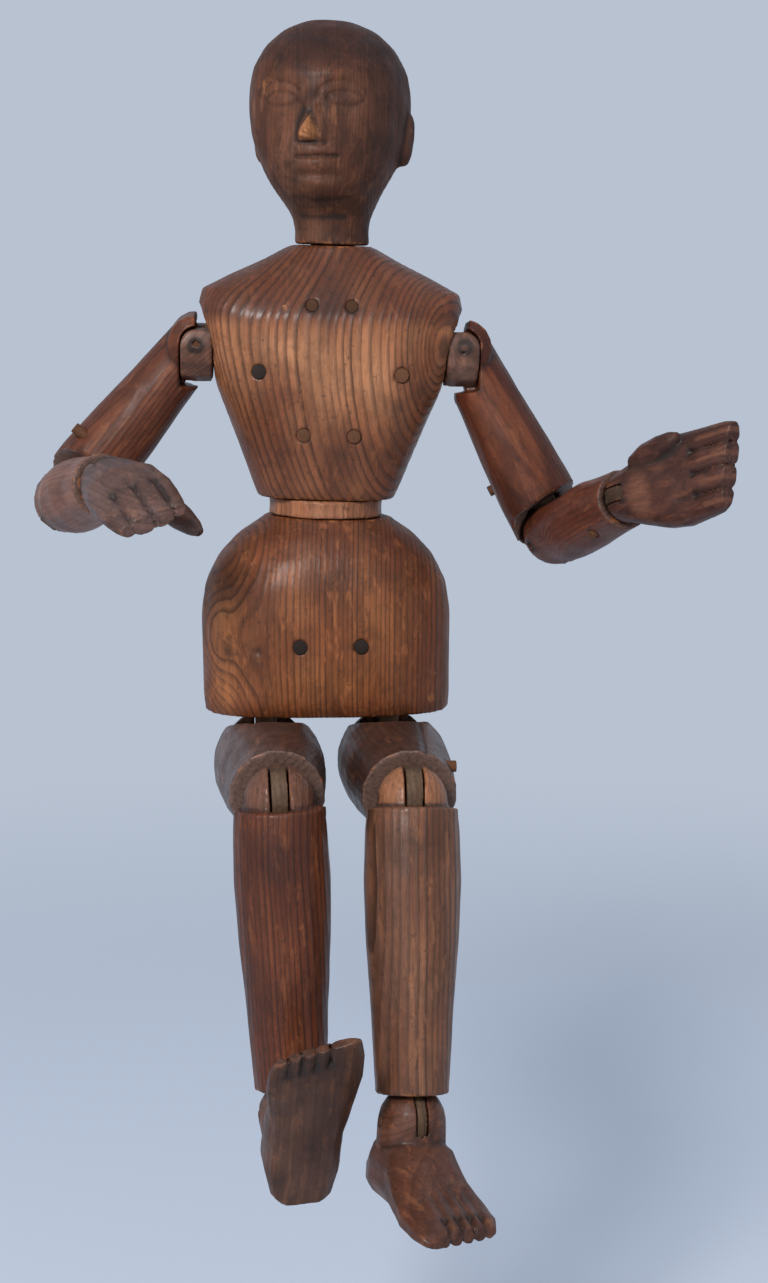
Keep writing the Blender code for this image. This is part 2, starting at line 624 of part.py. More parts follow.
def shoulder(side, sign):
    """The slotted stub that turns in the torso, and the cross pin for the arm's tongue."""
    pose = POSE[side]
    joint = Joint(
        side, "shoulder", torso_frame,
        (sign * (SHOULDER_FLOOR + SHOULDER_HINGE_OUT), 0, SHOULDER_RISE), (90, 0, 90 * sign),
        pose["shoulder_swing"], pose["shoulder_raise"],
    )
    floor = -SHOULDER_HINGE_OUT
    face = floor + SHOULDER_STUB_LENGTH
    recess = from_bmesh(
        f"shoulder_recess_{side}", rod(SHOULDER_STUB_RADIUS + 2 * GAP, 0.04, 28),
        joint.seat, (0, 0, floor + 0.02),
    )
    carve(torso, recess)
    bore = from_bmesh(
        f"shoulder_bore_{side}", rod(SHOULDER_PEG_RADIUS + BORE_GAP, SHOULDER_PEG_LENGTH + 0.01, BORE_SIDES),
        joint.seat, (0, 0, floor - SHOULDER_PEG_LENGTH / 2 + 0.005 - GAP),
    )
    carve(torso, bore)
    keeper = SHOULDER_KEEPER_RADIUS
    groove = SHOULDER_PEG_RADIUS - keeper * 1.05
    groove_at = floor - SHOULDER_KEEPER_IN
    half = keeper + PIN_GAP
    stub = turned(
        f"shoulder_swivel_{side}",
        [
            (0, face), (SHOULDER_STUB_RADIUS, face), (SHOULDER_STUB_RADIUS, floor + GAP),
            (SHOULDER_PEG_RADIUS, floor + GAP), (SHOULDER_PEG_RADIUS, groove_at + half),
            (groove, groove_at + half), (groove, groove_at - half), (SHOULDER_PEG_RADIUS, groove_at - half),
            (SHOULDER_PEG_RADIUS, floor - SHOULDER_PEG_LENGTH), (0, floor - SHOULDER_PEG_LENGTH),
        ],
        joint.turn, STAINED,
    )
    crown = face
    big = 4 * SHOULDER_STUB_RADIUS
    arc = [(crown * sin(pi / 2 * i / 6), crown * cos(pi / 2 * i / 6)) for i in range(7)]
    over = plate(arc + [(crown, floor + 3 * GAP), (big, floor + 3 * GAP), (big, big), (0, big)], big)
    carve(stub, from_bmesh(f"shoulder_crown_{side}", over, joint.turn))
    half = SHOULDER_HINGE_OUT - 2 * GAP
    slot = from_bmesh(
        f"shoulder_slot_{side}", block(SHOULDER_TONGUE + 2 * GAP, big, big),
        joint.turn, (0, 0, big / 2 - half - GAP),
    )
    carve(stub, slot)
    reach = keeper_reach(SHOULDER_PEG_RADIUS, keeper)
    keeper_x = SHOULDER_FLOOR - SHOULDER_KEEPER_IN
    keeper_z = SHOULDER_RISE - reach
    front = front_at(TORSO_STATIONS, keeper_z, keeper_x) - 0.0004
    back = SHOULDER_PEG_RADIUS + 0.004
    dowel(
        f"shoulder_keeper_{side}", keeper, back - front, torso_frame,
        (sign * keeper_x, (back + front) / 2, keeper_z), (90, 0, 0), [torso],
    )

    # The arm's blank and a round cap over the stub, cut to lie against it as it hangs, with a tongue
    r = UPPER_ARM_RADIUS
    long = UPPER_ARM_LENGTH
    cap = SHOULDER_CAP_RADIUS
    arm = from_bmesh(
        f"upper_arm_{side}",
        round_limb([
            (-0.02 * long, 0.82 * r, 0.78 * r), (0.10 * long, 0.85 * r, 0.84 * r),
            (0.30 * long, 0.91 * r, 0.91 * r), (0.55 * long, 1.03 * r, 1.03 * r),
            (0.78 * long, 1.12 * r, 1.12 * r), (1.06 * long, 1.09 * r, 1.09 * r),
        ]),
        joint.bend, look=STAINED,
    )
    barrel = round_limb([
        (-1.3 * cap, 0.60 * cap, 0.60 * cap), (-1.02 * cap, cap, cap), (1.02 * cap, cap, cap),
        (1.3 * cap, 0.60 * cap, 0.60 * cap),
    ])
    carve(arm, from_bmesh(f"shoulder_cap_{side}", barrel, joint.bend, (0, 0, 0), (0, 90, 0)), "UNION")
    low = pose["shoulder_raise"] + SHOULDER_REST
    lowest = empty(f"shoulder_low_{side}", joint.bend, (0, 0, 0), (-low, 0, 0))
    flat = face + GAP
    sweep = hypot(SHOULDER_STUB_RADIUS, face) + 1.5 * GAP
    behind = -0.4 * flat
    cap_end = radians(SHOULDER_CAP_END - low)
    over_crown = [cap_end * (1 - i / 6) for i in range(7)]
    under = [acos(flat / sweep) + (acos(behind / sweep) - acos(flat / sweep)) * i / 4 for i in range(5)]
    outline = [(-big, -big), (big, -big), (big * sin(cap_end), big * cos(cap_end))]
    for turn in over_crown:
        clear = flat * (1 + 0.15 * turn / cap_end)
        outline.append((clear * sin(turn), clear * cos(turn)))
    outline += [(-sweep * sin(turn), sweep * cos(turn)) for turn in under]
    outline += [(-big, behind)]
    carve(arm, from_bmesh(f"shoulder_against_{side}", plate(outline, big), lowest))
    tongue = plate(tongue_outline(half, half, -0.34 * long), SHOULDER_TONGUE)
    carve(arm, from_bmesh(f"shoulder_tongue_{side}", tongue, joint.bend, (0, 0, 0), (180, 0, 0)), "UNION")
    dowel(
        f"shoulder_pin_{side}", SHOULDER_PIN_RADIUS, 2 * SHOULDER_STUB_RADIUS - 0.002, joint.turn,
        (0, 0, 0), (0, 90, 0), [stub, arm],
    )
    return joint, arm


def elbow(side, sign, shoulder_joint, arm):
    pose = POSE[side]
    joint = Joint(
        side, "elbow", shoulder_joint.bend, (0, 0, UPPER_ARM_LENGTH), (0, 0, -90 * sign),
        pose["elbow_turn"], pose["elbow_bend"],
    )
    slanted_end(joint, arm, ELBOW_RIM[side], ELBOW_SLANT[side], ELBOW_KNUCKLE + ELBOW_CLEAR)
    swivel = paddle(
        joint, arm, ELBOW_KNUCKLE, ELBOW_SINK, ELBOW_PEG_RADIUS, ELBOW_PEG_LENGTH, ELBOW_TONGUE,
        ELBOW_PIN_RADIUS, 0.015, "+x", -1 if side == "R" else 1, 1.11 * UPPER_ARM_RADIUS + NUB,
    )
    r = FOREARM_RADIUS * FOREARM_GIRTH[side]
    long = FOREARM_LENGTH
    forearm = from_bmesh(
        f"forearm_{side}",
        round_limb(dome(ELBOW_KNUCKLE, 5) + [
            (0.06 * long, 1.006 * ELBOW_KNUCKLE, 1.006 * ELBOW_KNUCKLE), (0.26 * long, r, r),
            (0.45 * long, 0.97 * r, 0.97 * r),
            (0.70 * long, 0.87 * r, 0.87 * r), (0.94 * long, 0.82 * r, 0.82 * r),
        ]),
        joint.bend, look=STAINED,
    )
    flat = wedge(
        [(0.01 * long, FOREARM_BEVEL), (0.38 * long, FOREARM_BEVEL), (0.62 * long, 1.06 * r)], 4 * r
    )
    carve(forearm, from_bmesh(f"elbow_bevel_{side}", flat, joint.bend))
    knuckle_cuts(
        joint, forearm, swivel, ELBOW_KNUCKLE, ELBOW_TONGUE, TONGUE_FILL * ELBOW_KNUCKLE,
        tongue_half(ELBOW_PEG_RADIUS), ELBOW_PIN_RADIUS, False,
    )
    return joint, forearm


def wrist(side, sign, elbow_joint, forearm):
    pose = POSE[side]
    joint = Joint(
        side, "wrist", elbow_joint.bend, (0, 0, FOREARM_LENGTH), (0, 0, 0),
        pose["wrist_turn"], pose["wrist_bend"],
    )
    coned_end(joint, forearm, WRIST_KNUCKLE * 0.58, 0, WRIST_KNUCKLE)
    swivel = paddle(
        joint, forearm, WRIST_KNUCKLE, 0, WRIST_PEG_RADIUS, WRIST_PEG_LENGTH, WRIST_TONGUE, WRIST_PIN_RADIUS,
        0.014, "-x" if side == "R" else "+x", 1, 0.86 * FOREARM_RADIUS,
    )
    long = HAND_LENGTH
    wide = HAND_WIDTH
    shape = HAND_SHAPE[side]
    rings = [oval(z, x, -y, y, 2.0, LIMB_SIDES) for z, x, y in dome(WRIST_KNUCKLE, 4)]
    for z, w, middle, thick, power in shape["palm"]:
        ring = oval(z * long, w * wide, (middle - thick) * wide, (middle + thick) * wide, power, LIMB_SIDES)
        back = shape["slant"] * sign * max(0.0, 2 * z - 1)
        rings.append([(x, y, along - back * x) for x, y, along in ring])
    hand = from_bmesh(f"hand_{side}", skin(rings), joint.bend, look=STAINED)
    finger = 0.93 * wide / 4
    for number in (-1, 0, 1):
        groove = from_bmesh(
            f"finger_groove_{side}_{number + 1}", block(0.03 * wide, 1.2 * wide, 0.5 * long), joint.bend,
            (number * finger, 0, (shape["split"] + 0.25 + 0.01 * number) * long),
        )
        carve(hand, groove)
    reach = shape["thumb_length"] * long
    thumb = round_limb([
        (z * reach, w * wide, deep * wide)
        for z, w, deep in (
            (0.0, 0.122, 0.115), (0.28, 0.161, 0.151), (0.61, 0.146, 0.137), (0.88, 0.100, 0.098),
            (1.0, 0.050, 0.050),
        )
    ], 12)
    out, front, up, lean, tilt = shape["thumb_at"]
    thumb_body = from_bmesh(
        f"thumb_{side}", thumb, joint.bend, (-sign * out * wide, front * wide, up * long),
        (lean, -sign * tilt, 0),
    )
    carve(hand, thumb_body, "UNION")
    knuckle_cuts(
        joint, hand, swivel, WRIST_KNUCKLE, WRIST_TONGUE, TONGUE_FILL * WRIST_KNUCKLE,
        tongue_half(WRIST_PEG_RADIUS), WRIST_PIN_RADIUS, True,
    )


def hip(side, sign):
    pose = POSE[side]
    drop = HIP_DROP
    joint = Joint(
        side, "hip", pelvis_frame, (sign * HIP_SPREAD / 2, 0, -drop), (0, 180, 0),
        pose["hip_turn"], pose["hip_bend"],
    )
    keeper_at = -drop - HIP_KEEPER_RISE
    profile = peg_profile(HIP_PEG_RADIUS, -drop + GAP, HIP_PEG_LENGTH, keeper_at, HIP_PIN_RADIUS)
    swivel = turned(f"hip_swivel_{side}", profile, joint.turn, RAW)
    half = tongue_half(HIP_PEG_RADIUS)
    tongue = from_bmesh(
        f"hip_tongue_{side}", plate(tongue_outline(half, half, -drop - 0.006), HIP_TONGUE), joint.turn
    )
    carve(swivel, tongue, "UNION")
    bore = from_bmesh(
        f"hip_bore_{side}", rod(HIP_PEG_RADIUS + BORE_GAP, HIP_PEG_LENGTH + 0.01, BORE_SIDES), joint.seat,
        (0, 0, -drop - HIP_PEG_LENGTH / 2 + 0.005),
    )
    carve(pelvis, bore)
    reach = HIP_SPREAD / 2 - keeper_reach(HIP_PEG_RADIUS, HIP_PIN_RADIUS)
    front = front_at(PELVIS_STATIONS, HIP_KEEPER_RISE, reach) - 0.0004
    back = HIP_PEG_RADIUS + 0.004
    dowel(
        f"hip_keeper_{side}", HIP_PIN_RADIUS, back - front, pelvis_frame,
        (sign * reach, (back + front) / 2, HIP_KEEPER_RISE), (90, 0, 0), [pelvis],
    )
    r = THIGH_RADIUS
    long = THIGH_LENGTH
    thigh = from_bmesh(
        f"thigh_{side}",
        round_limb(dome(HIP_KNUCKLE, 5, 0.045 * long) + [
            (0.075 * long, 0.93 * r, 0.93 * r), (0.16 * long, 0.985 * r, 0.985 * r), (0.34 * long, r, r),
            (0.58 * long, 0.94 * r, 0.94 * r), (0.78 * long, 0.845 * r, 0.845 * r),
            (0.97 * long, 0.78 * r, 0.78 * r),
        ]),
        joint.bend, look=STAINED,
    )
    facet = from_bmesh(
        f"hip_facet_{side}", wedge([(0.045 * long, THIGH_FACET), (0.75 * long, 1.15 * r)], 4 * r), joint.bend
    )
    carve(thigh, facet)
    knuckle_cuts(joint, thigh, swivel, HIP_KNUCKLE, HIP_TONGUE, half, half, HIP_PIN_RADIUS, False)
    return joint, thigh


def knee(side, hip_joint, thigh):
    pose = POSE[side]
    joint = Joint(
        side, "knee", hip_joint.bend, (0, 0, THIGH_LENGTH), (0, 0, 180), pose["knee_turn"], pose["knee_bend"]
    )
    end = -0.95 * KNEE_KNUCKLE
    rim = ((0, end), (THIGH_RADIUS, end + THIGH_RADIUS * tan(radians(KNEE_SLANT))))
    slanted_end(joint, thigh, rim, KNEE_SLANT, KNEE_KNUCKLE)
    swivel = paddle(
        joint, thigh, KNEE_KNUCKLE, 0, KNEE_PEG_RADIUS, KNEE_PEG_LENGTH, KNEE_TONGUE, KNEE_PIN_RADIUS,
        0.010, "+x", -1 if side == "R" else 1, 0.81 * THIGH_RADIUS + NUB,
    )
    r = SHIN_RADIUS
    long = SHIN_LENGTH
    shin = from_bmesh(
        f"shin_{side}",
        round_limb(dome(KNEE_KNUCKLE, 5, 0.024 * long) + [
            (0.027 * long, 0.93 * r, 0.93 * r), (0.10 * long, 0.97 * r, 0.97 * r), (0.25 * long, r, r),
            (0.45 * long, 0.95 * r, 0.95 * r), (0.68 * long, 0.83 * r, 0.83 * r),
            (1.0 * long - 0.5 * ANKLE_KNUCKLE, 0.74 * r, 0.74 * r),
        ]),
        joint.bend, look=STAINED,
    )
    flat = wedge([(0.015 * long, SHIN_BEVEL), (0.20 * long, 1.06 * r)], 4 * r)
    bevel = from_bmesh(f"knee_bevel_{side}", flat, joint.bend)
    carve(shin, bevel)
    knuckle_cuts(
        joint, shin, swivel, KNEE_KNUCKLE, KNEE_TONGUE, TONGUE_FILL * KNEE_KNUCKLE,
        tongue_half(KNEE_PEG_RADIUS), KNEE_PIN_RADIUS, False,
    )
    return joint, shin


def ankle(side, sign, knee_joint, shin):
    pose = POSE[side]
    joint = Joint(
        side, "ankle", knee_joint.bend, (0, 0, SHIN_LENGTH), (0, 0, 0),
        pose["ankle_turn"], pose["ankle_bend"],
    )
    coned_end(joint, shin, ANKLE_KNUCKLE * 0.77, 0, ANKLE_KNUCKLE)
    swivel = paddle(
        joint, shin, ANKLE_KNUCKLE, 0, ANKLE_PEG_RADIUS, ANKLE_PEG_LENGTH, ANKLE_TONGUE, ANKLE_PIN_RADIUS,
        0.014, "-y", 1, 0.77 * SHIN_RADIUS,
    )
    half = FOOT_WIDTH / 2
    toe = FOOT_LENGTH - HEEL_BACK
    sole = FOOT_HEIGHT
    inward = -sign
    turns = [2 * pi * (i + 0.5) / LIMB_SIDES for i in range(LIMB_SIDES)]
    rings = []
    for y, w, lean, top, power in (
        (-HEEL_BACK, 0.50, 0.0, 0.62 * sole, 2.6), (-0.86 * HEEL_BACK, 0.66, 0.0, 0.45 * sole, 3.0),
        (-0.30 * HEEL_BACK, 0.80, 0.0, 0.16 * sole, 3.4), (0.20 * toe, 0.80, 0.0, 0.18 * sole, 3.4),
        (0.45 * toe, 0.86, 0.06, 0.44 * sole, 3.2), (0.68 * toe, 0.97, 0.06, 0.62 * sole, 3.2),
        (0.86 * toe, 0.96, 0.05, 0.71 * sole, 3.2), (0.97 * toe, 0.86, 0.06, 0.78 * sole, 2.6),
        (toe, 0.72, 0.06, 0.84 * sole, 2.4),
    ):
        middle = (top + sole) / 2
        deep = (sole - top) / 2
        rings.append([
            (half * (inward * lean + w * bow(cos(turn), 2.6)),
             y + TOE_SLANT * inward * half * bow(cos(turn), 2.6) * max(0.0, y / toe),
             min(middle - deep * bow(sin(turn), power), sole - SOLE_FLAT))
            for turn in turns
        ])
    foot = from_bmesh(f"foot_{side}", skin(rings), joint.bend, look=STAINED)
    column = from_bmesh(
        f"ankle_column_{side}",
        round_limb(dome(ANKLE_KNUCKLE, 5) + [
            (0.35 * sole, 1.03 * ANKLE_KNUCKLE, 1.03 * ANKLE_KNUCKLE),
            (0.70 * sole, ANKLE_KNUCKLE, ANKLE_KNUCKLE),
        ]),
        joint.bend,
    )
    carve(foot, column, "UNION")
    toe_wide = 1.84 * half / 5
    for number, wide in enumerate((0.62, -0.16, -0.90, -1.62)):
        cut = from_bmesh(
            f"toe_groove_{side}_{number}", block(0.03 * FOOT_WIDTH, 0.26 * toe, 2 * sole), joint.bend,
            (inward * (wide * toe_wide + 0.06 * half), toe + TOE_SLANT * wide * toe_wide, 0.70 * sole),
        )
        carve(foot, cut)
    knuckle_cuts(
        joint, foot, swivel, ANKLE_KNUCKLE, ANKLE_TONGUE, TONGUE_FILL * ANKLE_KNUCKLE,
        tongue_half(ANKLE_PEG_RADIUS), ANKLE_PIN_RADIUS, True, 0.0005,
    )


for limb_side, limb_sign in (("R", -1), ("L", 1)):
    shoulder_joint, arm_body = shoulder(limb_side, limb_sign)
    elbow_joint, forearm_body = elbow(limb_side, limb_sign, shoulder_joint, arm_body)
    wrist(limb_side, limb_sign, elbow_joint, forearm_body)
    hip_joint, thigh_body = hip(limb_side, limb_sign)
    knee_joint, shin_body = knee(limb_side, hip_joint, thigh_body)
    ankle(limb_side, limb_sign, knee_joint, shin_body)

bpy.context.view_layer.update()
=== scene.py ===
"""Dresses the jointed wooden lay figure: carved wood, dowels, and a plain stage."""

import json
from math import cos, pi, radians, sin

import bmesh
import bpy
import numpy as np
from mathutils import Matrix, Vector, kdtree


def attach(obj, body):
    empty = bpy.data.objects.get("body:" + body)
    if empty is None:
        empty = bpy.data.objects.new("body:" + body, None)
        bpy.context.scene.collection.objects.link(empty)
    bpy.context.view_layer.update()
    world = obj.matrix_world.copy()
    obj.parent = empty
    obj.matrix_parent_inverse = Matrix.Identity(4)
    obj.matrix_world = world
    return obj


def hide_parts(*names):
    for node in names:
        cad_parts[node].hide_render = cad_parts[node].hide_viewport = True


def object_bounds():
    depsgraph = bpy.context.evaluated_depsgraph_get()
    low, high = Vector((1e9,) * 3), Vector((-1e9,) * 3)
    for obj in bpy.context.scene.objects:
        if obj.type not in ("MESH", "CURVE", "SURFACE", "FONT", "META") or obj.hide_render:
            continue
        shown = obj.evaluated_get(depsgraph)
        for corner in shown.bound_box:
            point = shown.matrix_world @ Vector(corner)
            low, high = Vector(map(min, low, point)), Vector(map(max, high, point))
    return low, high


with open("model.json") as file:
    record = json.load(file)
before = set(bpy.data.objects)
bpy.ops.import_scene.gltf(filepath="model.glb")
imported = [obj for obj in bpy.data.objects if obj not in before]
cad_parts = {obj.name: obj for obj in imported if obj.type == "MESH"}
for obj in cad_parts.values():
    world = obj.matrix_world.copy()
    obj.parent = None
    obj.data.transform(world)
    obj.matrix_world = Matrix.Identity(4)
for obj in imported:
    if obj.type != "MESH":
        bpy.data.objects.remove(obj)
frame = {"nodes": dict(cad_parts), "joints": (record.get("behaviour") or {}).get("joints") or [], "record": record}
CAD_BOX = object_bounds()

bl_info = {
    "name": "Jointed Lay Figure",
    "version": (1, 0, 0),
    "blender": (4, 5, 0),
    "location": "View3D > Sidebar > Lay Figure",
    "description": "Carves and finishes an old jointed wooden lay figure",
    "category": "Object",
}

STAINED = "stained_wood"
RAW = "raw_wood"
JOINTS = {joint["name"]: joint for joint in frame["joints"]}
BODY_OF = {
    node: body
    for body, nodes in frame["record"]["behaviour"]["bodies"].items()
    for node in nodes
}
DOWELS = sorted(node for node in BODY_OF if "_pin_" in node or "_keeper_" in node)
SIDES = {"R": -1, "L": 1}
FRONT = (0, -1, 0)
MM = 0.001

# How far each joint is bent at rest, in degrees, so that a piece can be carved in its own axes.
FACE_TURN = -16.0
CHEST_TURN = -2.0
REST_BEND = {
    "shoulder_R": 51.8, "shoulder_L": 61.0, "elbow_R": 112.5, "elbow_L": 94.6,
    "wrist_R": 15.0, "wrist_L": -18.0, "hip_R": 93.4, "hip_L": 93.0,
    "knee_R": 87.9, "knee_L": 79.0, "ankle_R": -58.8, "ankle_L": 8.0,
}

# Edges of a CAD copy: the least angle between faces, in radians, and how far apart the points on them lie.
SHARP_ANGLE = 0.55
EDGE_STEP = 0.0006
# How far wear reaches from an edge, and dirt from a crease and from a dowel.
EDGE_WEAR = 0.0012
CREASE_DIRT = 0.0016
DOWEL_DIRT = 0.0010

# Where the fingers and toes part, in millimetres: spacing, distance from the wrist, and places across and
# along the foot. The grooves between them run on to the end.
FINGER_WIDTH = 9.53
FINGER_SPLIT = {"R": 36.1, "L": 42.6}
FINGER_END = 80
TOE_GROOVES = ((5.9, 58.4), (0, 57.1), (-5.6, 55.9), (-11, 54.7))
TOE_END = 90
# How near an edge the rubbing down stops on the hands and feet. On the head it spares no edge.
FINE_HOLD = 0.0009
RUB_ALL = -1.0

# The growth rings of each shin: the pith line, the ring width and the sway.
SHIN_RINGS = {"R": ((-0.060, 0.004), 0.0022, 0.35), "L": ((-0.075, 0.030), 0.0031, 0.2)}
# The border of the knife facet on top of each thigh, in millimetres: places across and along it.
FACET_EDGE = {
    "R": ((9, 45), (6.6, 74), (3, 115), (-4, 130)),
    "L": ((-11, 45), (-9.5, 71), (-7.4, 112), (-6, 130)),
}
# Spots on the head that are rubbed down less, in millimetres: the nose, the rim of the neck and the ears.
HEAD_CRISP = (
    ((-1, -45, 50), (8, 10, 11)), ((0, 0, 0), (40, 40, 4)),
    ((35, 4, 52), (9, 12, 14)), ((-37, 4, 52), (9, 12, 14)),
)
# The tongue of each swivel: its mesh cell, and how light its wood is. The hip tongues are light partly for their
# pale wood and partly as painted light in the shade under the pelvis.
TONGUES = {
    "elbow": (0.0007, 0.60), "wrist": (0.0007, 0.26),
    "hip": (0.0008, 1.9), "knee": (0.0008, 0.42), "ankle": (0.0008, 0.40),
}
# Flush dowels stand a little proud and swell a little, so that they show. The others are cut short.
FLUSH_DOWELS = ("neck", "waist", "shoulder_keeper", "hip_keeper")
FLUSH_TRIM, FLUSH_SWELLING = -0.0005, 0.0003
SHORT_TRIM = 0.0012

# Each piece's stain: the colour of its early wood.
TORSO_TONE = (0.375, 0.146, 0.062)
# Laid under the rings on the upper chest: partly paler early wood, partly a painted sheen.
CHEST_PALE_AND_SHEEN = (0.620, 0.290, 0.138)
PELVIS_TONE = (0.262, 0.086, 0.030)
KNOT_TONE = (0.460, 0.170, 0.055)
SPINDLE_TONE = (0.370, 0.150, 0.072)
HEAD_TONE = (0.150, 0.060, 0.032)
STUB_TONE = {"R": (0.190, 0.092, 0.062), "L": (0.180, 0.090, 0.062)}
ARM_TONE = {"R": (0.142, 0.041, 0.017), "L": (0.165, 0.046, 0.018)}
FOREARM_TONE = {"R": (0.245, 0.102, 0.062), "L": (0.142, 0.040, 0.020)}
HAND_TONE = {"R": (0.128, 0.070, 0.057), "L": (0.100, 0.038, 0.025)}
THIGH_TONE = {"R": (0.125, 0.064, 0.048), "L": (0.064, 0.026, 0.016)}
SHIN_TONE = {"R": (0.172, 0.047, 0.017), "L": (0.245, 0.106, 0.056)}
FOOT_TONE = {"R": (0.124, 0.050, 0.026), "L": (0.130, 0.050, 0.029)}
CHEEK_TONE = {"R": (0.155, 0.064, 0.036), "L": (0.320, 0.126, 0.056)}
# Grey-brown of the sawn rims. On the left thigh's facet the same tone lays a painted sheen.
RIM_TONE = (0.170, 0.098, 0.072)
DARK_RIM_TONE = (0.105, 0.056, 0.042)
NOSE_TONE = (0.380, 0.150, 0.055)
FINGER_TONE = (0.175, 0.066, 0.036)
# Shares that turn one tone of a piece into another.
LATE_SHARE = 0.20
RED_SHIFT = (0.86, 0.70, 0.60)
# The shade mask multiplies this darker tone in: darker patches and bands on many pieces, and painted shade on the
# side of the head that turns from the key lamp and on the right thigh beyond its facet border.
SHADE = (0.40, 0.31, 0.28)
BROWN_DOWEL, STAINED_DOWEL = 0.36, 0.22

# Bare tongue wood, less stained.
RAW_WOOD = {"rings": 0.35, "streaks": 0.6, "stain": 0.35, "worn": 0.25, "rough": 0.6, "coat": 0.0}
WOOD_SPECULAR, DOWEL_SPECULAR = 0.22, 0.2
COAT_ROUGHNESS = 0.26
# Bump strength and distance.
WOOD_BUMP = (0.55, 0.0006)
DOWEL_BUMP = (0.5, 0.0004)

# Noises: cells per metre, or across and along the wood, then detail, roughness and distortion.
NOISES = {
    "Waver": ((420, 420, 26), 3, 0.55, 0),
    "Broad": ((620, 620, 24), 4, 0.6, 0),
    "Fine": ((2100, 2100, 60), 2, 0.6, 0),
    "Pore": ((1500, 1500, 130), 2, 0.5, 0),
    "Cloud": ((46, 46, 26), 6, 0.68, 0.4),
    "Hue": ((60, 60, 20), 3, 0.5, 0),
    "Fleck": ((240, 240, 55), 5, 0.65, 0.3),
    "Mottle": ((115, 115, 90), 6, 0.72, 0.5),
    "Speck": (340, 3, 0.6, 0),
    "Wax": (70, 4, 0.6, 0),
    "Ragged": (230, 4, 0.65, 0),
    "Grain": (2600, 3, 0.55, 0),
}
# The levels between which each part of the patina comes in.
PATINA = {
    "Cloud": (0.40, 0.66), "Speck": (0.60, 0.72), "Hue": (0.35, 0.65),
    "Fleck": (0.53, 0.70), "Mottle": (0.48, 0.63),
}

# Stage: the lens as the picture shows it, then each lamp's place and size, and the floor.
FRAME_HEIGHT = 36.0
FOCAL_PIXELS, PICTURE_PIXELS = 2420, 1283
KEY_LAMP = ((-0.50, -1.15, 0.75), 0.35)
FILL_LAMP = ((0.5, -0.2, 1.6), 1.4)
LAMP_AIM = Vector((0, 0, 0.08))
FLOOR_RADIUS = 6.0
FLOOR_FADE = (0.45, 1.5)

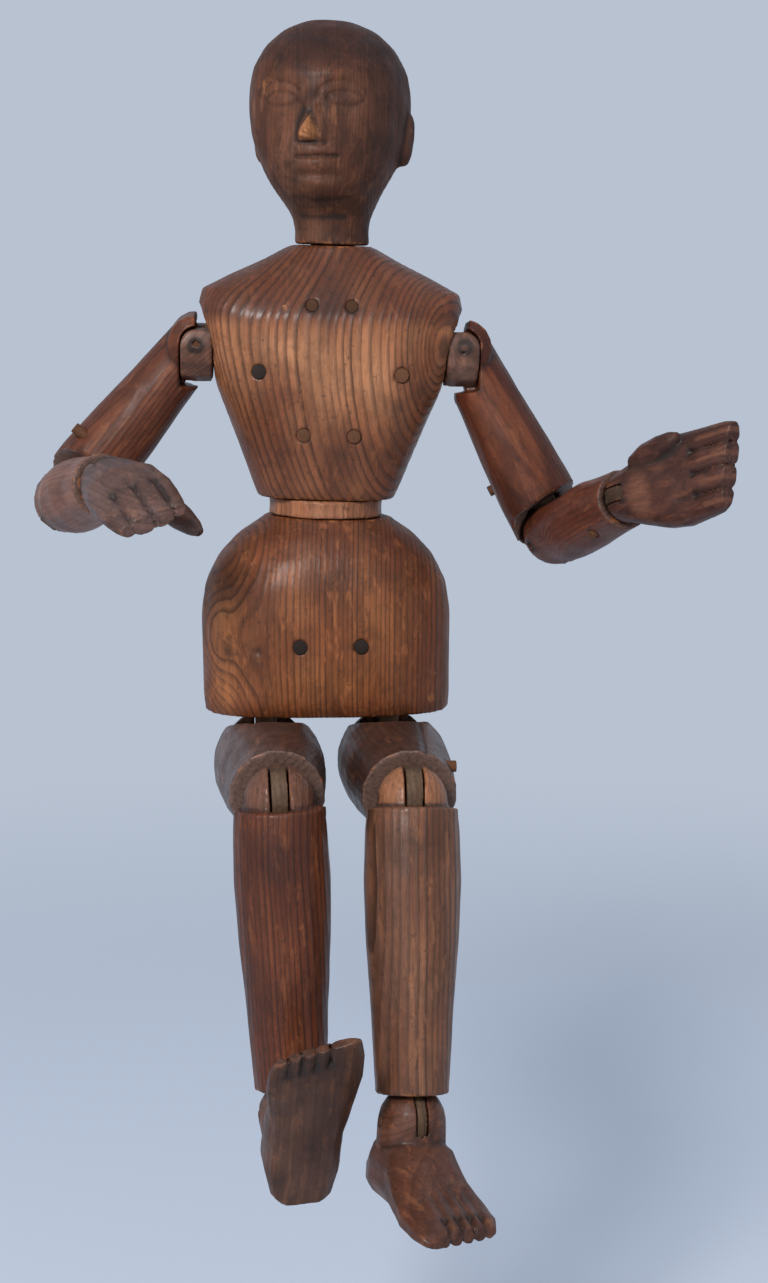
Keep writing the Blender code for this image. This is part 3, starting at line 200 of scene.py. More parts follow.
# Soft marks on each piece, in millimetres in its own axes: centre, radius or radii, and strength.
MARKS = {
    "torso_grime": [
        ((30.4, -29, 42.2), 3.5, 0.55), ((4, -30, 88), 8, 0.35), ((8, -28, 17), 6, 0.35),
        ((-44, -26, 83), 5, 0.3), ((43, -26, 52), 6, 0.4), ((0, -30, 79), (5, 20, 12), 0.3),
        ((33, -28, 34), (4, 20, 10), 0.35), ((24, -28, 20), 5, 0.25), ((-3, -27, 96), (9, 20, 14), 0.4),
        ((8, -29, 22), (6, 20, 4), 0.35), ((-26, -31, 62), (7, 20, 3), 0.3),
    ],
    "torso_worn": [
        ((-47, -27, 79), 5, 0.5), ((-30, -31, 81), 4, 0.5), ((53.5, -18, 76), 4.5, 0.6),
        ((-21, -30, 88), 3.2, 0.6),
    ],
    "torso_shade": [
        ((-40, -28, 45), (26, 30, 30), 0.4), ((46, -26, 64), (10, 30, 16), 0.55),
        ((33, -31, 60), (6, 30, 9), 0.55), ((41, -25, 45), (9, 30, 12), 0.5),
        ((-11, -31, 47), (4, 30, 10), 0.35), ((-20, -31, 48), (7, 30, 6), 0.35),
    ],
    # The torso's bare marks lay the paler chest tone: partly lighter early wood, partly a painted sheen.
    "torso_bare": [
        ((-22, -31, 68), (22, 20, 9), 0.55), ((2, -31, 56), (16, 20, 16), 0.5),
        ((24, -30, 56), (10, 20, 18), 0.45),
    ],
    "pelvis_grime": [
        ((-32.8, -36, 31.6), 2.2, 1), ((-46, -28, 31), 3.5, 0.8), ((-50, -27, 20), 5, 0.45),
        ((0, -35, 62), 10, 0.22), ((6, -34, 70), (20, 20, 10), 0.22), ((12, -40, 50), 6, 0.22),
        ((24, -36, 66), 6, 0.25), ((-8, -40, 12), 6, 0.2),
    ],
    "pelvis_worn": [
        ((-47.6, -28.2, 41), 5.5, 0.95), ((-48.5, -27.8, 10), 4, 0.7), ((-50, -27, 50), 4, 0.6),
        ((-44, -30, 28), 3, 0.5), ((50, -26, 20), 4, 0.4), ((47, -27, 8), 4, 0.45),
    ],
    "pelvis_shade": [
        ((28, -35, 72), (12, 30, 14), 0.5), ((46, -25, 74), (10, 30, 18), 0.6),
        ((45, -28, 34), (12, 30, 26), 0.5), ((0, -36, 66), (12, 30, 12), 0.35),
        ((-24, -36, 34), (11, 30, 20), 0.35), ((-43, -26, 62), (10, 30, 12), 0.35),
    ],
    "pelvis_bare": [
        ((-49, -27, 46), (6, 20, 11), 0.9), ((-48, -27, 12), (5, 20, 12), 0.7),
        ((0, -36, 18), (22, 20, 8), 0.4), ((20, -36, 46), (14, 20, 20), 0.4),
        ((-16, -37, 52), (7, 20, 10), 0.4),
    ],
    "head_shade": [
        ((4, -34, 88), (22, 30, 14), 0.55), ((-12, -36, 80), (10, 20, 8), 0.55),
        ((-18, -30, 96), (10, 20, 7), 0.55), ((10, -26, 101), (12, 20, 6), 0.45),
        ((-1, -41, 66), (6, 20, 8), 0.4), ((18, -35, 48), (10, 20, 12), 0.25),
        ((-10, -38, 30), (6, 20, 6), 0.45),
    ],
    "head_worn": [
        ((-25.5, -32, 70.5), 3.2, 0.75), ((21.2, -35, 71.3), 2.6, 0.6), ((23, -33, 64), 2.4, 0.4),
        ((-24.5, -32.5, 66), 3, 0.45), ((-20, -37, 72.2), (5, 20, 1.6), 0.45), ((36, 2, 52), 3, 0.55),
        ((2, -32, 16), (12, 20, 2), 0.4), ((-16, -38, 55.5), 6, 0.3),
    ],
    "head_grime": [
        ((30, -22, 66), (10, 16, 20), 0.4), ((31, -20, 46), 10, 0.3), ((-12, -34, 84), 9, 0.4),
        ((2, -36, 88), 8, 0.4), ((-8.5, -37, 27), 4.2, 0.75), ((-10, -39, 34), 4, 0.45),
        ((0, -28, 18), (16, 20, 3), 0.45), ((-2, -41.5, 66.5), 3.5, 0.45), ((-6, -28, 96), 10, 0.3),
        ((12, -30, 90), 5, 0.35), ((4, -18, 6), 6, 0.3),
    ],
    "forearm_R_worn": [((15, 8, 19), 7, 0.7), ((12, 10, 4), 5, 0.5)],
    "forearm_R_shade": [((13, 8, 50), (8, 10, 14), 0.6), ((14, 8, 6), (6, 10, 6), 0.45)],
    "hand_L_bare": [((4, -10, 14), (16, 20, 9), 0.7)],
    "hand_L_shade": [((-6, -9, 32), (11, 20, 10), 0.7), ((-16, -6, 30), (6, 20, 14), 0.4)],
    "hand_R_bare": [
        ((12, 0, 48), 5, 0.7), ((18, -16, 36), 7, 0.6), ((-14, 0, 46), 4, 0.5), ((2, 0, 48), 4, 0.6),
    ],
    "shin_L_shade": [
        ((-16, 14, 40), (9, 30, 34), 0.6), ((4, 20, 16), (12, 30, 10), 0.35),
        ((-14, 14, 100), (7, 30, 30), 0.4),
    ],
    "shin_R_shade": [
        ((-4, 20, 26), (20, 30, 18), 0.5), ((-2, 20, 84), (14, 30, 10), 0.4),
        ((-17, 12, 70), (7, 30, 60), 0.45),
    ],
    "shin_R_worn": [((2, 22, 52), (10, 30, 8), 0.35), ((2, 22, 106), (12, 30, 12), 0.38)],
}


class WoodSettings(bpy.types.PropertyGroup):
    worn_wood: bpy.props.FloatVectorProperty(
        name="Worn Wood", description="Wood bared where hands have rubbed the stain off",
        default=(0.380, 0.130, 0.038), subtype="COLOR", min=0, max=1,
    )
    grime: bpy.props.FloatVectorProperty(
        name="Grime", description="Dark dirt and old wax in creases and blotches",
        default=(0.016, 0.010, 0.008), subtype="COLOR", min=0, max=1,
    )
    tongue: bpy.props.FloatVectorProperty(
        name="Raw Tongue", description="Unstained hardwood of the joint tongues",
        default=(0.270, 0.155, 0.088), subtype="COLOR", min=0, max=1,
    )
    dowel: bpy.props.FloatVectorProperty(
        name="Dowel", description="Dark end grain of the dowels",
        default=(0.024, 0.014, 0.010), subtype="COLOR", min=0, max=1,
    )


class CarvingSettings(bpy.types.PropertyGroup):
    trunk_cell: bpy.props.FloatProperty(
        name="Trunk Cell", description="Mesh cell of the torso and the pelvis",
        default=0.00095, unit="LENGTH", min=0.0005,
    )
    limb_cell: bpy.props.FloatProperty(
        name="Limb Cell", description="Mesh cell of the arms and legs",
        default=0.0009, unit="LENGTH", min=0.0005,
    )
    fine_cell: bpy.props.FloatProperty(
        name="Fine Cell", description="Mesh cell of the head, hands and feet",
        default=0.00065, unit="LENGTH", min=0.0004,
    )
    edge_hold: bpy.props.FloatProperty(
        name="Edge Hold", description="How near an edge the rubbing down stops",
        default=0.0016, unit="LENGTH", min=0.0,
    )
    relief: bpy.props.FloatProperty(
        name="Ring Relief", description="How far late wood stands above early wood",
        default=0.00012, unit="LENGTH", min=0.0,
    )
    tongue_play: bpy.props.FloatProperty(
        name="Tongue Play", description="How far the leg tongues are pared so that they turn freely",
        default=0.0004, unit="LENGTH", min=0.0,
    )
    waviness: bpy.props.FloatProperty(
        name="Knife Waviness", description="Unevenness that the carver's knife left",
        default=0.00018, unit="LENGTH", min=0.0,
    )


class StageSettings(bpy.types.PropertyGroup):
    yaw: bpy.props.FloatProperty(
        name="Camera Yaw", description="How far round the camera stands from straight in front",
        default=radians(4.5), subtype="ANGLE",
    )
    pitch: bpy.props.FloatProperty(
        name="Camera Pitch", description="How far the camera looks down",
        default=radians(9.0), subtype="ANGLE",
    )
    distance: bpy.props.FloatProperty(
        name="Camera Distance", description="From the camera to the point it looks at",
        default=1.15, unit="LENGTH",
    )
    aim_right: bpy.props.FloatProperty(
        name="Aim Right", description="Sideways place of the point looked at",
        default=0.0276, unit="LENGTH",
    )
    aim_up: bpy.props.FloatProperty(
        name="Aim Up", description="Height of the point looked at",
        default=0.0304, unit="LENGTH",
    )
    lens: bpy.props.FloatProperty(
        name="Lens", description="Focal length on a 36 mm frame height",
        default=FRAME_HEIGHT * FOCAL_PIXELS / PICTURE_PIXELS, unit="CAMERA",
    )
    floor_drop: bpy.props.FloatProperty(
        name="Floor Drop", description="From the hanging feet to the floor, so that straight legs clear it",
        default=0.150, unit="LENGTH",
    )
    floor_tone: bpy.props.FloatVectorProperty(
        name="Floor", description="Plain pale floor",
        default=(0.59, 0.63, 0.70), subtype="COLOR", min=0, max=1,
    )
    sky_tone: bpy.props.FloatVectorProperty(
        name="Background", description="Plain pale background and fill light",
        default=(0.48, 0.54, 0.64), subtype="COLOR", min=0, max=1,
    )
    key_power: bpy.props.FloatProperty(
        name="Key Power", description="Lamp above and left of the camera",
        default=17.0, unit="POWER",
    )
    fill_power: bpy.props.FloatProperty(
        name="Fill Power", description="Large lamp overhead",
        default=2.5, unit="POWER",
    )


def wood():
    return bpy.context.scene.figure_wood


def carving():
    return bpy.context.scene.figure_carving


def axes(x, z, place):
    """A matrix from two directions and a place, with y square to both."""
    z = z.normalized()
    x = (x - z * x.dot(z)).normalized()
    return Matrix.Translation(place) @ Matrix((x, z.cross(x), z)).transposed().to_4x4()


def turned_axes(name, spin):
    """Axes of a piece that only turns, as the head does."""
    joint = JOINTS[name]
    z = Vector(joint["axis"]).normalized()
    x = Vector((1, 0, 0))
    x = Matrix.Rotation(radians(spin), 3, z) @ (x - z * x.dot(z))
    return axes(x, z, Vector(joint["pos_m"]))


def bent_axes(joint_name, side):
    """Axes of a limb: z along it from its hinge, x along the hinge pin."""
    swing, bend = ("swing", "raise") if joint_name == "shoulder" else ("turn", "bend")
    hinge = JOINTS[f"{joint_name}_{bend}_{side}"]
    x = Vector(hinge["axis"]).normalized()
    along = Vector(JOINTS[f"{joint_name}_{swing}_{side}"]["axis"])
    turn = Matrix.Rotation(radians(REST_BEND[f"{joint_name}_{side}"]), 3, x)
    return axes(x, turn @ along, Vector(hinge["pos_m"]))


def search_tree(points):
    """A search tree of points. An empty one holds a point far away."""
    points = points or [Vector((9, 9, 9))]
    tree = kdtree.KDTree(len(points))
    for number, point in enumerate(points):
        tree.insert(point, number)
    tree.balance()
    return tree


def edge_trees(mesh):
    """Search trees of points along the convex and the concave edges of a CAD copy."""
    ridges, creases = [], []
    for edge in mesh.edges:
        if len(edge.link_faces) != 2:
            continue
        angle = edge.calc_face_angle_signed(0.0)
        if abs(angle) < SHARP_ANGLE:
            continue
        a, b = (vert.co for vert in edge.verts)
        steps = max(1, int(edge.calc_length() / EDGE_STEP))
        found = ridges if angle > 0 else creases
        found += [a.lerp(b, i / steps) for i in range(steps + 1)]
    return search_tree(ridges), search_tree(creases)


def dowel_tree():
    """Search tree of the corners of every pin and keeper dowel."""
    return search_tree([vert.co.copy() for node in DOWELS for vert in frame["nodes"][node].data.vertices])


def new_mesh(name, shape):
    mesh = bpy.data.meshes.new(name)
    shape.to_mesh(mesh)
    shape.free()
    return mesh


def new_object(name, data):
    obj = bpy.data.objects.new(name, data)
    bpy.context.scene.collection.objects.link(obj)
    return obj


def aim(obj, place, direction):
    obj.location = place
    obj.rotation_mode = "QUATERNION"
    obj.rotation_quaternion = direction.to_track_quat("-Z", "Y")


def evaluated(obj):
    """The object's mesh with its modifiers applied, in place of the one it had."""
    graph = bpy.context.evaluated_depsgraph_get()
    graph.update()
    made = bpy.data.meshes.new_from_object(obj.evaluated_get(graph))
    old = obj.data
    obj.modifiers.clear()
    obj.data = made
    bpy.data.meshes.remove(old)


def vectors(items, field):
    values = np.empty(len(items) * 3, np.float32)
    items.foreach_get(field, values)
    return values.reshape(-1, 3).astype(float)


def slope(values, start, run):
    """From 0 at the start to 1 after the run, which is negative where it climbs downwards."""
    return np.clip((values - start) / run, 0, 1)


def distance_to(points, path, facing):
    """Distance from each point to a path, seen along one direction."""
    flat = points - np.outer(points @ facing, facing)
    path = path - np.outer(path @ facing, facing)
    best = np.full(len(points), np.inf)
    for a, b in zip(path[:-1], path[1:]):
        run = b - a
        share = np.clip((flat - a) @ run / max(run @ run, 1e-12), 0, 1)
        best = np.minimum(best, np.linalg.norm(flat - a - share[:, None] * run, axis=1))
    return best


def settle_piece(obj, node):
    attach(obj, BODY_OF[node])
    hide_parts(node)


class Carving:
    """A CAD node's copy in fine cells, rubbed down between its edges, that tools can work on."""

    def __init__(self, node, cell, rub, place, wave=None, knife=1.0, hold=None, settle=3, spare=()):
        self.node = node
        self.place = place
        copy = bmesh.new()
        copy.from_mesh(frame["nodes"][node].data)
        bmesh.ops.remove_doubles(copy, verts=copy.verts, dist=1e-6)
        trees = (*edge_trees(copy), dowel_tree())
        self.obj = new_object(node + "_carved", new_mesh(node + "_blank", copy))
        remesh = self.obj.modifiers.new("cells", "REMESH")
        remesh.mode = "VOXEL"
        remesh.voxel_size = cell
        evaluated(self.obj)
        self.read()
        far = np.array([[tree.find(vert.co)[2] for tree in trees] for vert in self.obj.data.vertices])
        self.to_ridge, self.to_crease, self.to_dowel = far.T
        self.rub_down(rub, carving().edge_hold if hold is None else hold, settle, spare)
        self.worn, self.grime, self.growth, self.bare, self.shade = np.zeros((5, len(far)))
        self.read()
        if wave:
            self.waves(carving().waviness * knife, wave)

    def rub_down(self, rub, hold, settle, spare, levels=20):
        """Smooths the open wood. Edges, and the spots named in spare, are left crisper."""
        weight = np.where(np.minimum(self.to_ridge, self.to_crease) > hold, 1.0, 0.0)
        for centre, radius in spare:
            weight *= 1 - 0.93 * self.near(centre, radius)
        open_wood = self.obj.vertex_groups.new(name="open_wood")
        weight = np.round(weight * levels).astype(int)
        for level in range(1, levels + 1):
            open_wood.add(np.nonzero(weight == level)[0].tolist(), level / levels, "REPLACE")
        for name, factor, times, where in (("settle", 0.5, settle, ""), ("rub", 0.6, rub, "open_wood")):
            smooth = self.obj.modifiers.new(name, "SMOOTH")
            smooth.factor, smooth.iterations, smooth.vertex_group = factor, times, where
        evaluated(self.obj)
        self.obj.vertex_groups.clear()

    def read(self):
        """Points and normals, in the piece's own axes."""
        mesh = self.obj.data
        back = np.array(self.place.inverted())
        self.points = vectors(mesh.vertices, "co") @ back[:3, :3].T + back[:3, 3]
        self.normals = vectors(mesh.vertex_normals, "vector") @ back[:3, :3].T

    def write(self):
        """Puts the moved points back in the mesh."""
        out = np.array(self.place)
        points = self.points @ out[:3, :3].T + out[:3, 3]
        self.obj.data.vertices.foreach_set("co", points.astype(np.float32).ravel())
        self.obj.data.update()

    def near(self, centre, radius):
        """A soft spot, in millimetres: 1 at its centre, falling off by its radius or radii."""
        return np.exp(-(((self.points - np.multiply(centre, MM)) / np.multiply(radius, MM)) ** 2).sum(1))

    def push(self, amount):
        """Moves each point along its normal."""
        self.points += self.normals * np.asarray(amount)[:, None]

    def waves(self, depth, length):
        """Slow unevenness from a few crossing sines."""
        x, y, z = (self.points / length).T
        wave = np.sin(2.1 * x + 1.3 * z + 0.4) + np.sin(1.7 * y - 0.9 * z + 2.0)
        wave += np.sin(1.1 * x - 1.9 * y + 0.6 * z + 4.0) + 0.5 * np.sin(3.7 * z + 2.3 * x)
        self.push(depth * wave / 3.5)

    def rings(self, pith, width, knots=(), sway=0.35, bend=None):
        """Numbers the growth rings from the pith line, with their sway and the knots they flow round."""
        x, y, z = self.points.T
        if bend:
            level, strength = bend
            x = x - strength * np.maximum(0, level - z) ** 2
        far = np.hypot(x - pith[0], y - pith[1]) / width
        far += sway * (np.sin(34 * z + 11 * x) + 0.6 * np.sin(71 * z - 23 * y + 1.0))
        far += 0.25 * np.sin(0.9 * far)
        for centre, spread, strength in knots:
            far += strength * self.near(centre, spread)
        self.growth = far

    def relief(self, depth):
        """Late wood stands a little proud of early wood."""
        part = self.growth - np.floor(self.growth)
        late = slope(part, 0.35, 0.45) * slope(part, 1, -0.12)
        self.push(depth * (late - 0.4))

    def spots(self, mask, places):
        """Adds soft spots to a mask, each a centre, a radius or radii, and a strength."""
        for centre, radius, strength in places:
            mask += strength * self.near(centre, radius)

    def marks(self, *masks):
        """Adds the piece's own marks to some of its masks."""
        for mask in masks:
            self.spots(getattr(self, mask), MARKS.get(f"{self.node}_{mask}", ()))

    def groove(self, path, width, depth, facing=FRONT, grime=0.0):
        """Cuts a rounded groove along a path, in millimetres, on the side that faces one way."""
        facing = np.array(facing, float)
        away = distance_to(self.points, np.multiply(path, MM), facing)
        cut = np.exp(-((away / (width * MM)) ** 2)) * slope(self.normals @ facing, 0, 0.35)
        self.points -= (depth * MM * cut)[:, None] * facing
        self.grime += grime * cut

    def swell(self, centre, radius, height, facing=FRONT):
        """Raises or sinks a soft oval patch, in millimetres."""
        facing = np.array(facing, float)
        side = slope(self.normals @ facing, 0, 0.35)
        self.points += (height * MM * self.near(centre, radius) * side)[:, None] * facing

    def towards(self, direction):
        """How far each point faces one way in the figure's axes, from 0 to 1."""
        turn = np.array(self.place)[:3, :3]
        return np.clip(self.normals @ turn.T @ np.array(direction, float), 0, 1)

    def bare_end(self, share=0.6):
        """Marks the sawn rim at the far end, which was never stained as dark."""
        z = self.points[:, 2]
        self.bare = np.maximum(self.bare, slope(self.normals[:, 2], 0.45, 0.25) * (z > share * z.max()))

    def done(self, tone, slot=STAINED, wear=0.55, **finish):
        """Stores the masks, stains the wood, and hands the piece to its CAD body in place of the node."""
        self.write()
        mesh = self.obj.data
        edge = np.exp(-((self.to_ridge / EDGE_WEAR) ** 2))
        edge *= slope(self.to_crease, 0.003, 0.003) * slope(self.to_dowel, 0.002, 0.002)
        self.worn += wear * edge
        self.grime += np.exp(-((self.to_crease / CREASE_DIRT) ** 2))
        self.grime += np.exp(-((self.to_dowel / DOWEL_DIRT) ** 2))
        for name in ("growth", "worn", "grime", "bare", "shade"):
            layer = mesh.attributes.new(name, "FLOAT", "POINT")
            layer.data.foreach_set("value", getattr(self, name).astype(np.float32))
        mesh.shade_smooth()
        mesh.materials.clear()
        mesh.materials.append(wood_look(self.node + "_wood", self.place, tone, **finish))
        settle_piece(self.obj, self.node)


class Net:
    """Builds the nodes of one tree. An input is a socket or a plain value."""

    def __init__(self, tree):
        self.nodes, self.links = tree.nodes, tree.links

    def feed(self, socket, value):
        if isinstance(value, bpy.types.NodeSocket):
            self.links.new(value, socket)
        elif hasattr(value, "__len__") and len(value) == 3 and socket.type == "RGBA":
            socket.default_value = (*value, 1.0)
        else:
            socket.default_value = value

    def node(self, kind, inputs=(), **settings):
        """A new node with its settings and its inputs."""
        made = self.nodes.new("ShaderNode" + kind)
        for name, value in settings.items():
            setattr(made, name, value)
        self.fill(made, inputs)
        return made

    def fill(self, made, inputs):
        for label, value in inputs:
            self.feed(made.inputs[label], value)

    def mix(self, blend, factor, a, b):
        inputs = (("Factor", factor), (6, a), (7, b))
        return self.node("Mix", inputs, data_type="RGBA", blend_type=blend).outputs[2]

    def sums(self, operation, *values, clamp=False):
        return self.node("Math", enumerate(values), operation=operation, use_clamp=clamp).outputs[0]

    def times(self, a, b):
        return self.sums("MULTIPLY", a, b)

    def ramp(self, value, low, high, out_low=0.0, out_high=1.0):
        """A smooth step from one level to another."""
        inputs = (
            ("Value", value), ("From Min", low), ("From Max", high),
            ("To Min", out_low), ("To Max", out_high),
        )
        return self.node("MapRange", inputs, interpolation_type="SMOOTHSTEP").outputs["Result"]

    def noise(self, vector, name):
        """One of the named noises."""
        cells, detail, rough, warp = NOISES[name]
        if isinstance(cells, tuple):
            vector = self.node("Mapping", (("Vector", vector), ("Scale", cells))).outputs["Vector"]
            cells = 1.0
        inputs = (
            ("Vector", vector), ("Scale", cells), ("Detail", detail),
            ("Roughness", rough), ("Distortion", warp),
        )
        return self.node("TexNoise", inputs).outputs["Fac"]

    def mask(self, name):
        return self.node("Attribute", attribute_name=name).outputs["Fac"]

    def gray(self, value):
        return self.node("CombineColor", [(channel, value) for channel in range(3)]).outputs["Color"]

    def group(self, name, **given):
        """A shared node group, made the first time that it is asked for."""
        tree = bpy.data.node_groups.get(name) or GROUP_MAKERS[name]()
        return self.node("Group", given.items(), node_tree=tree).outputs

    def bump(self, shader, height, strength, distance):
        inputs = (("Strength", strength), ("Distance", distance), ("Height", height))
        self.links.new(self.node("Bump", inputs).outputs["Normal"], shader.inputs["Normal"])


def new_group(name, inputs, outputs):
    """An empty shader node group. Its sockets are numbers, apart from the vector."""
    tree = bpy.data.node_groups.new(name, "ShaderNodeTree")
    for way, labels in (("INPUT", inputs), ("OUTPUT", outputs)):
        for label in labels:
            kind = "NodeSocketVector" if label == "Vector" else "NodeSocketFloat"
            tree.interface.new_socket(label, in_out=way, socket_type=kind)
    given = tree.nodes.new("NodeGroupInput").outputs
    return tree, Net(tree), given, tree.nodes.new("NodeGroupOutput").inputs


def ring_group():
    """Growth rings: a slow rise to dark late wood and a sharp fall, each ring of its own depth."""
    tree, net, given, out = new_group("Growth Rings", ("Growth", "Vector"), ("Late", "Tone"))
    growth = net.sums("ADD", given["Growth"], net.times(net.noise(given["Vector"], "Waver"), 0.22))
    part = net.sums("FRACT", growth)
    rise = net.ramp(part, 0.38, 0.86)
    fall = net.ramp(part, 0.90, 1.0, 1.0, 0.0)
    whole = net.sums("FLOOR", growth)
    random = net.node("TexWhiteNoise", [("W", whole)], noise_dimensions="1D").outputs["Value"]
    depth = net.ramp(random, 0.0, 1.0, 0.45, 1.0)
    net.links.new(net.times(net.times(rise, fall), depth), out["Late"])
    net.links.new(random, out["Tone"])
    return tree


def fibre_group():
    """Fine fibres and open pores that run along the wood."""
    tree, net, given, out = new_group("Wood Fibre", ("Vector",), ("Streak", "Pore", "Height"))
    broad, fine, pore = (net.noise(given["Vector"], name) for name in ("Broad", "Fine", "Pore"))
    streak = net.sums("ADD", net.times(broad, 0.6), net.times(fine, 0.4))
    net.links.new(net.ramp(streak, 0.36, 0.64), out["Streak"])
    net.links.new(net.ramp(pore, 0.62, 0.72), out["Pore"])
    net.links.new(streak, out["Height"])
    return tree


def patina_group():
    """Blotches of old stain, specks of dirt and cloudy wax."""
    tree, net, given, out = new_group("Old Patina", ("Vector",), ("Wax", *PATINA))
    net.links.new(net.noise(given["Vector"], "Wax"), out["Wax"])
    for name, levels in PATINA.items():
        net.links.new(net.ramp(net.noise(given["Vector"], name), *levels), out[name])
    return tree


def rub_group():
    """Breaks a smooth mask of rubbed edges into ragged patches."""
    tree, net, given, out = new_group("Ragged Mask", ("Mask", "Vector"), ("Mask",))
    ragged = net.ramp(net.noise(given["Vector"], "Ragged"), 0.3, 0.7, -0.5, 0.3)
    net.links.new(net.ramp(net.sums("ADD", given["Mask"], ragged), 0.32, 0.78), out["Mask"])
    return tree


GROUP_MAKERS = {
    "Growth Rings": ring_group, "Wood Fibre": fibre_group,
    "Old Patina": patina_group, "Ragged Mask": rub_group,
}


def new_look(name):
    look = bpy.data.materials.new(name)
    look.use_nodes = True
    return look, Net(look.node_tree), look.node_tree.nodes["Principled BSDF"]


def scaled(tone, share):
    return [value * share for value in tone]


def wood_look(name, place, tone, rings=0.8, streaks=0.5, stain=0.45, worn=0.8, rough=0.46, coat=0.12,
              bare=None, under=None, flecks=0.45, mottle=0.30):
    """Old stained wood. The place turns the pattern to run along the piece."""
    look, net, shader = new_look(name)
    colours = wood()
    late = scaled(tone, LATE_SHARE)
    back = place.inverted()
    vector = net.node("Mapping", (
        ("Vector", net.node("TexCoord").outputs["Object"]),
        ("Location", back.translation), ("Rotation", back.to_euler()),
    )).outputs["Vector"]
    ring = net.group("Growth Rings", Growth=net.mask("growth"), Vector=vector)
    fibre = net.group("Wood Fibre", Vector=vector)
    patina = net.group("Old Patina", Vector=vector)
    rubbed = net.group("Ragged Mask", Mask=net.mask("worn"), Vector=vector)["Mask"]
    uneven = net.ramp(patina["Wax"], 0.3, 0.7, 0.55, 1.15)
    dirty = net.sums("MULTIPLY", net.mask("grime"), uneven, clamp=True)

    def lay(over, share, strength):
        """Lays one colour over the others, by a mask."""
        return net.mix("MIX", net.times(share, strength), colour, over)

    def rubbed_tone(raw, kept):
        """Worn wood with some of the stain still on it."""
        return [raw * a + kept * b for a, b in zip(colours.worn_wood, tone)]

    colour = net.mix("MIX", patina["Hue"], tone, [a * b for a, b in zip(tone, RED_SHIFT)])
    # The under tone goes beneath the rings by the bare mask: orange knot wood on the pelvis, a paler chest with a
    # painted sheen on the torso.
    if under:
        colour = lay(under, net.mask("bare"), 1.0)
    colour = lay(late, ring["Late"], rings)
    lively = net.ramp(ring["Tone"], 0, 1, 0.78, 1.16)
    colour = net.mix("MULTIPLY", 0.8, colour, net.gray(lively))
    colour = lay(scaled(tone, 0.36), fibre["Streak"], 0.6 * streaks)
    colour = lay(scaled(late, 0.8), fibre["Pore"], 0.4 * streaks)
    colour = lay(scaled(late, 0.9), patina["Cloud"], stain)
    colour = lay(scaled(late, 1.1), patina["Mottle"], mottle)
    colour = lay(rubbed_tone(0.35, 0.85), patina["Fleck"], flecks)
    colour = net.mix("MULTIPLY", net.mask("shade"), colour, SHADE)
    if bare:
        pale = net.mix("MIX", fibre["Streak"], bare, scaled(bare, 0.55))
        colour = lay(pale, net.ramp(net.mask("bare"), 0.3, 0.7), 0.9)
    colour = lay(colours.grime, patina["Speck"], 0.45)
    colour = lay(rubbed_tone(0.45, 0.55), rubbed, worn)
    colour = lay(colours.grime, dirty, 0.85)
    wax = net.ramp(patina["Wax"], 0.3, 0.7, rough - 0.10, rough + 0.12)
    net.fill(shader, (
        ("Base Color", colour), ("Roughness", net.sums("ADD", wax, net.times(fibre["Streak"], 0.08))),
        ("Coat Weight", coat), ("Coat Roughness", COAT_ROUGHNESS), ("Specular IOR Level", WOOD_SPECULAR),
    ))
    height = net.sums("ADD", net.times(ring["Late"], 0.55 * rings), net.times(fibre["Height"], 0.55))
    net.bump(shader, net.sums("SUBTRACT", height, net.times(fibre["Pore"], 0.25)), *WOOD_BUMP)
    return look


class FIGURE_OT_trunk(bpy.types.Operator):
    """Carves the torso, the pelvis and the waist spindle"""

    bl_idname = "figure.trunk"
    bl_label = "Trunk"

    def execute(self, context):
        sizes = carving()
        torso = Carving("torso", sizes.trunk_cell, 50, turned_axes("waist_turn", CHEST_TURN), wave=0.014)
        torso.rings(
            (-0.085, 0.050), 0.0029, bend=(0.062, 2.8),
            knots=[((50, -26, 70), (10, 30, 20), 4.5)],
        )
        torso.relief(sizes.relief * 1.6)
        torso.marks("grime", "worn")
        height = torso.points[:, 2]
        torso.shade += 0.75 * slope(height, 0.052, -0.030) + 0.95 * slope(height, 0.079, 0.006)
        torso.marks("shade", "bare")
        torso.shade = np.clip(torso.shade, 0, 1)
        # The pale chest zone is partly a painted sheen.
        torso.done(TORSO_TONE, rings=0.95, stain=0.30, coat=0.20, flecks=0.5, under=CHEST_PALE_AND_SHEEN)

        pelvis = Carving("pelvis", sizes.trunk_cell, 60, Matrix.Identity(4), wave=0.016)
        pelvis.rings(
            (-0.090, -0.020), 0.0024, sway=0.25,
            knots=[((-57, -22, 38), (20, 60, 34), 11.0)],
        )
        pelvis.relief(sizes.relief)
        pelvis.marks("grime", "worn")
        pelvis.swell((-32.8, -36, 31.6), 1.8, -0.9)
        height = pelvis.points[:, 2]
        pelvis.shade += 0.55 * slope(height, 0.070, 0.015) + 0.35 * slope(height, 0.011, -0.008)
        pelvis.marks("shade", "bare")
        pelvis.shade = np.clip(pelvis.shade, 0, 1)
        pelvis.done(
            PELVIS_TONE, rings=0.85, stain=0.35, streaks=0.6, rough=0.50, coat=0.10, flecks=0.7,
            under=KNOT_TONE,
        )

        spindle = Carving("waist_spindle", sizes.limb_cell, 8, turned_axes("waist_turn", 0))
        spindle.rings((0.02, 0.05), 0.0014)
        spindle.done(SPINDLE_TONE, rings=0.7, stain=0.2, worn=0.5)
        return {"FINISHED"}


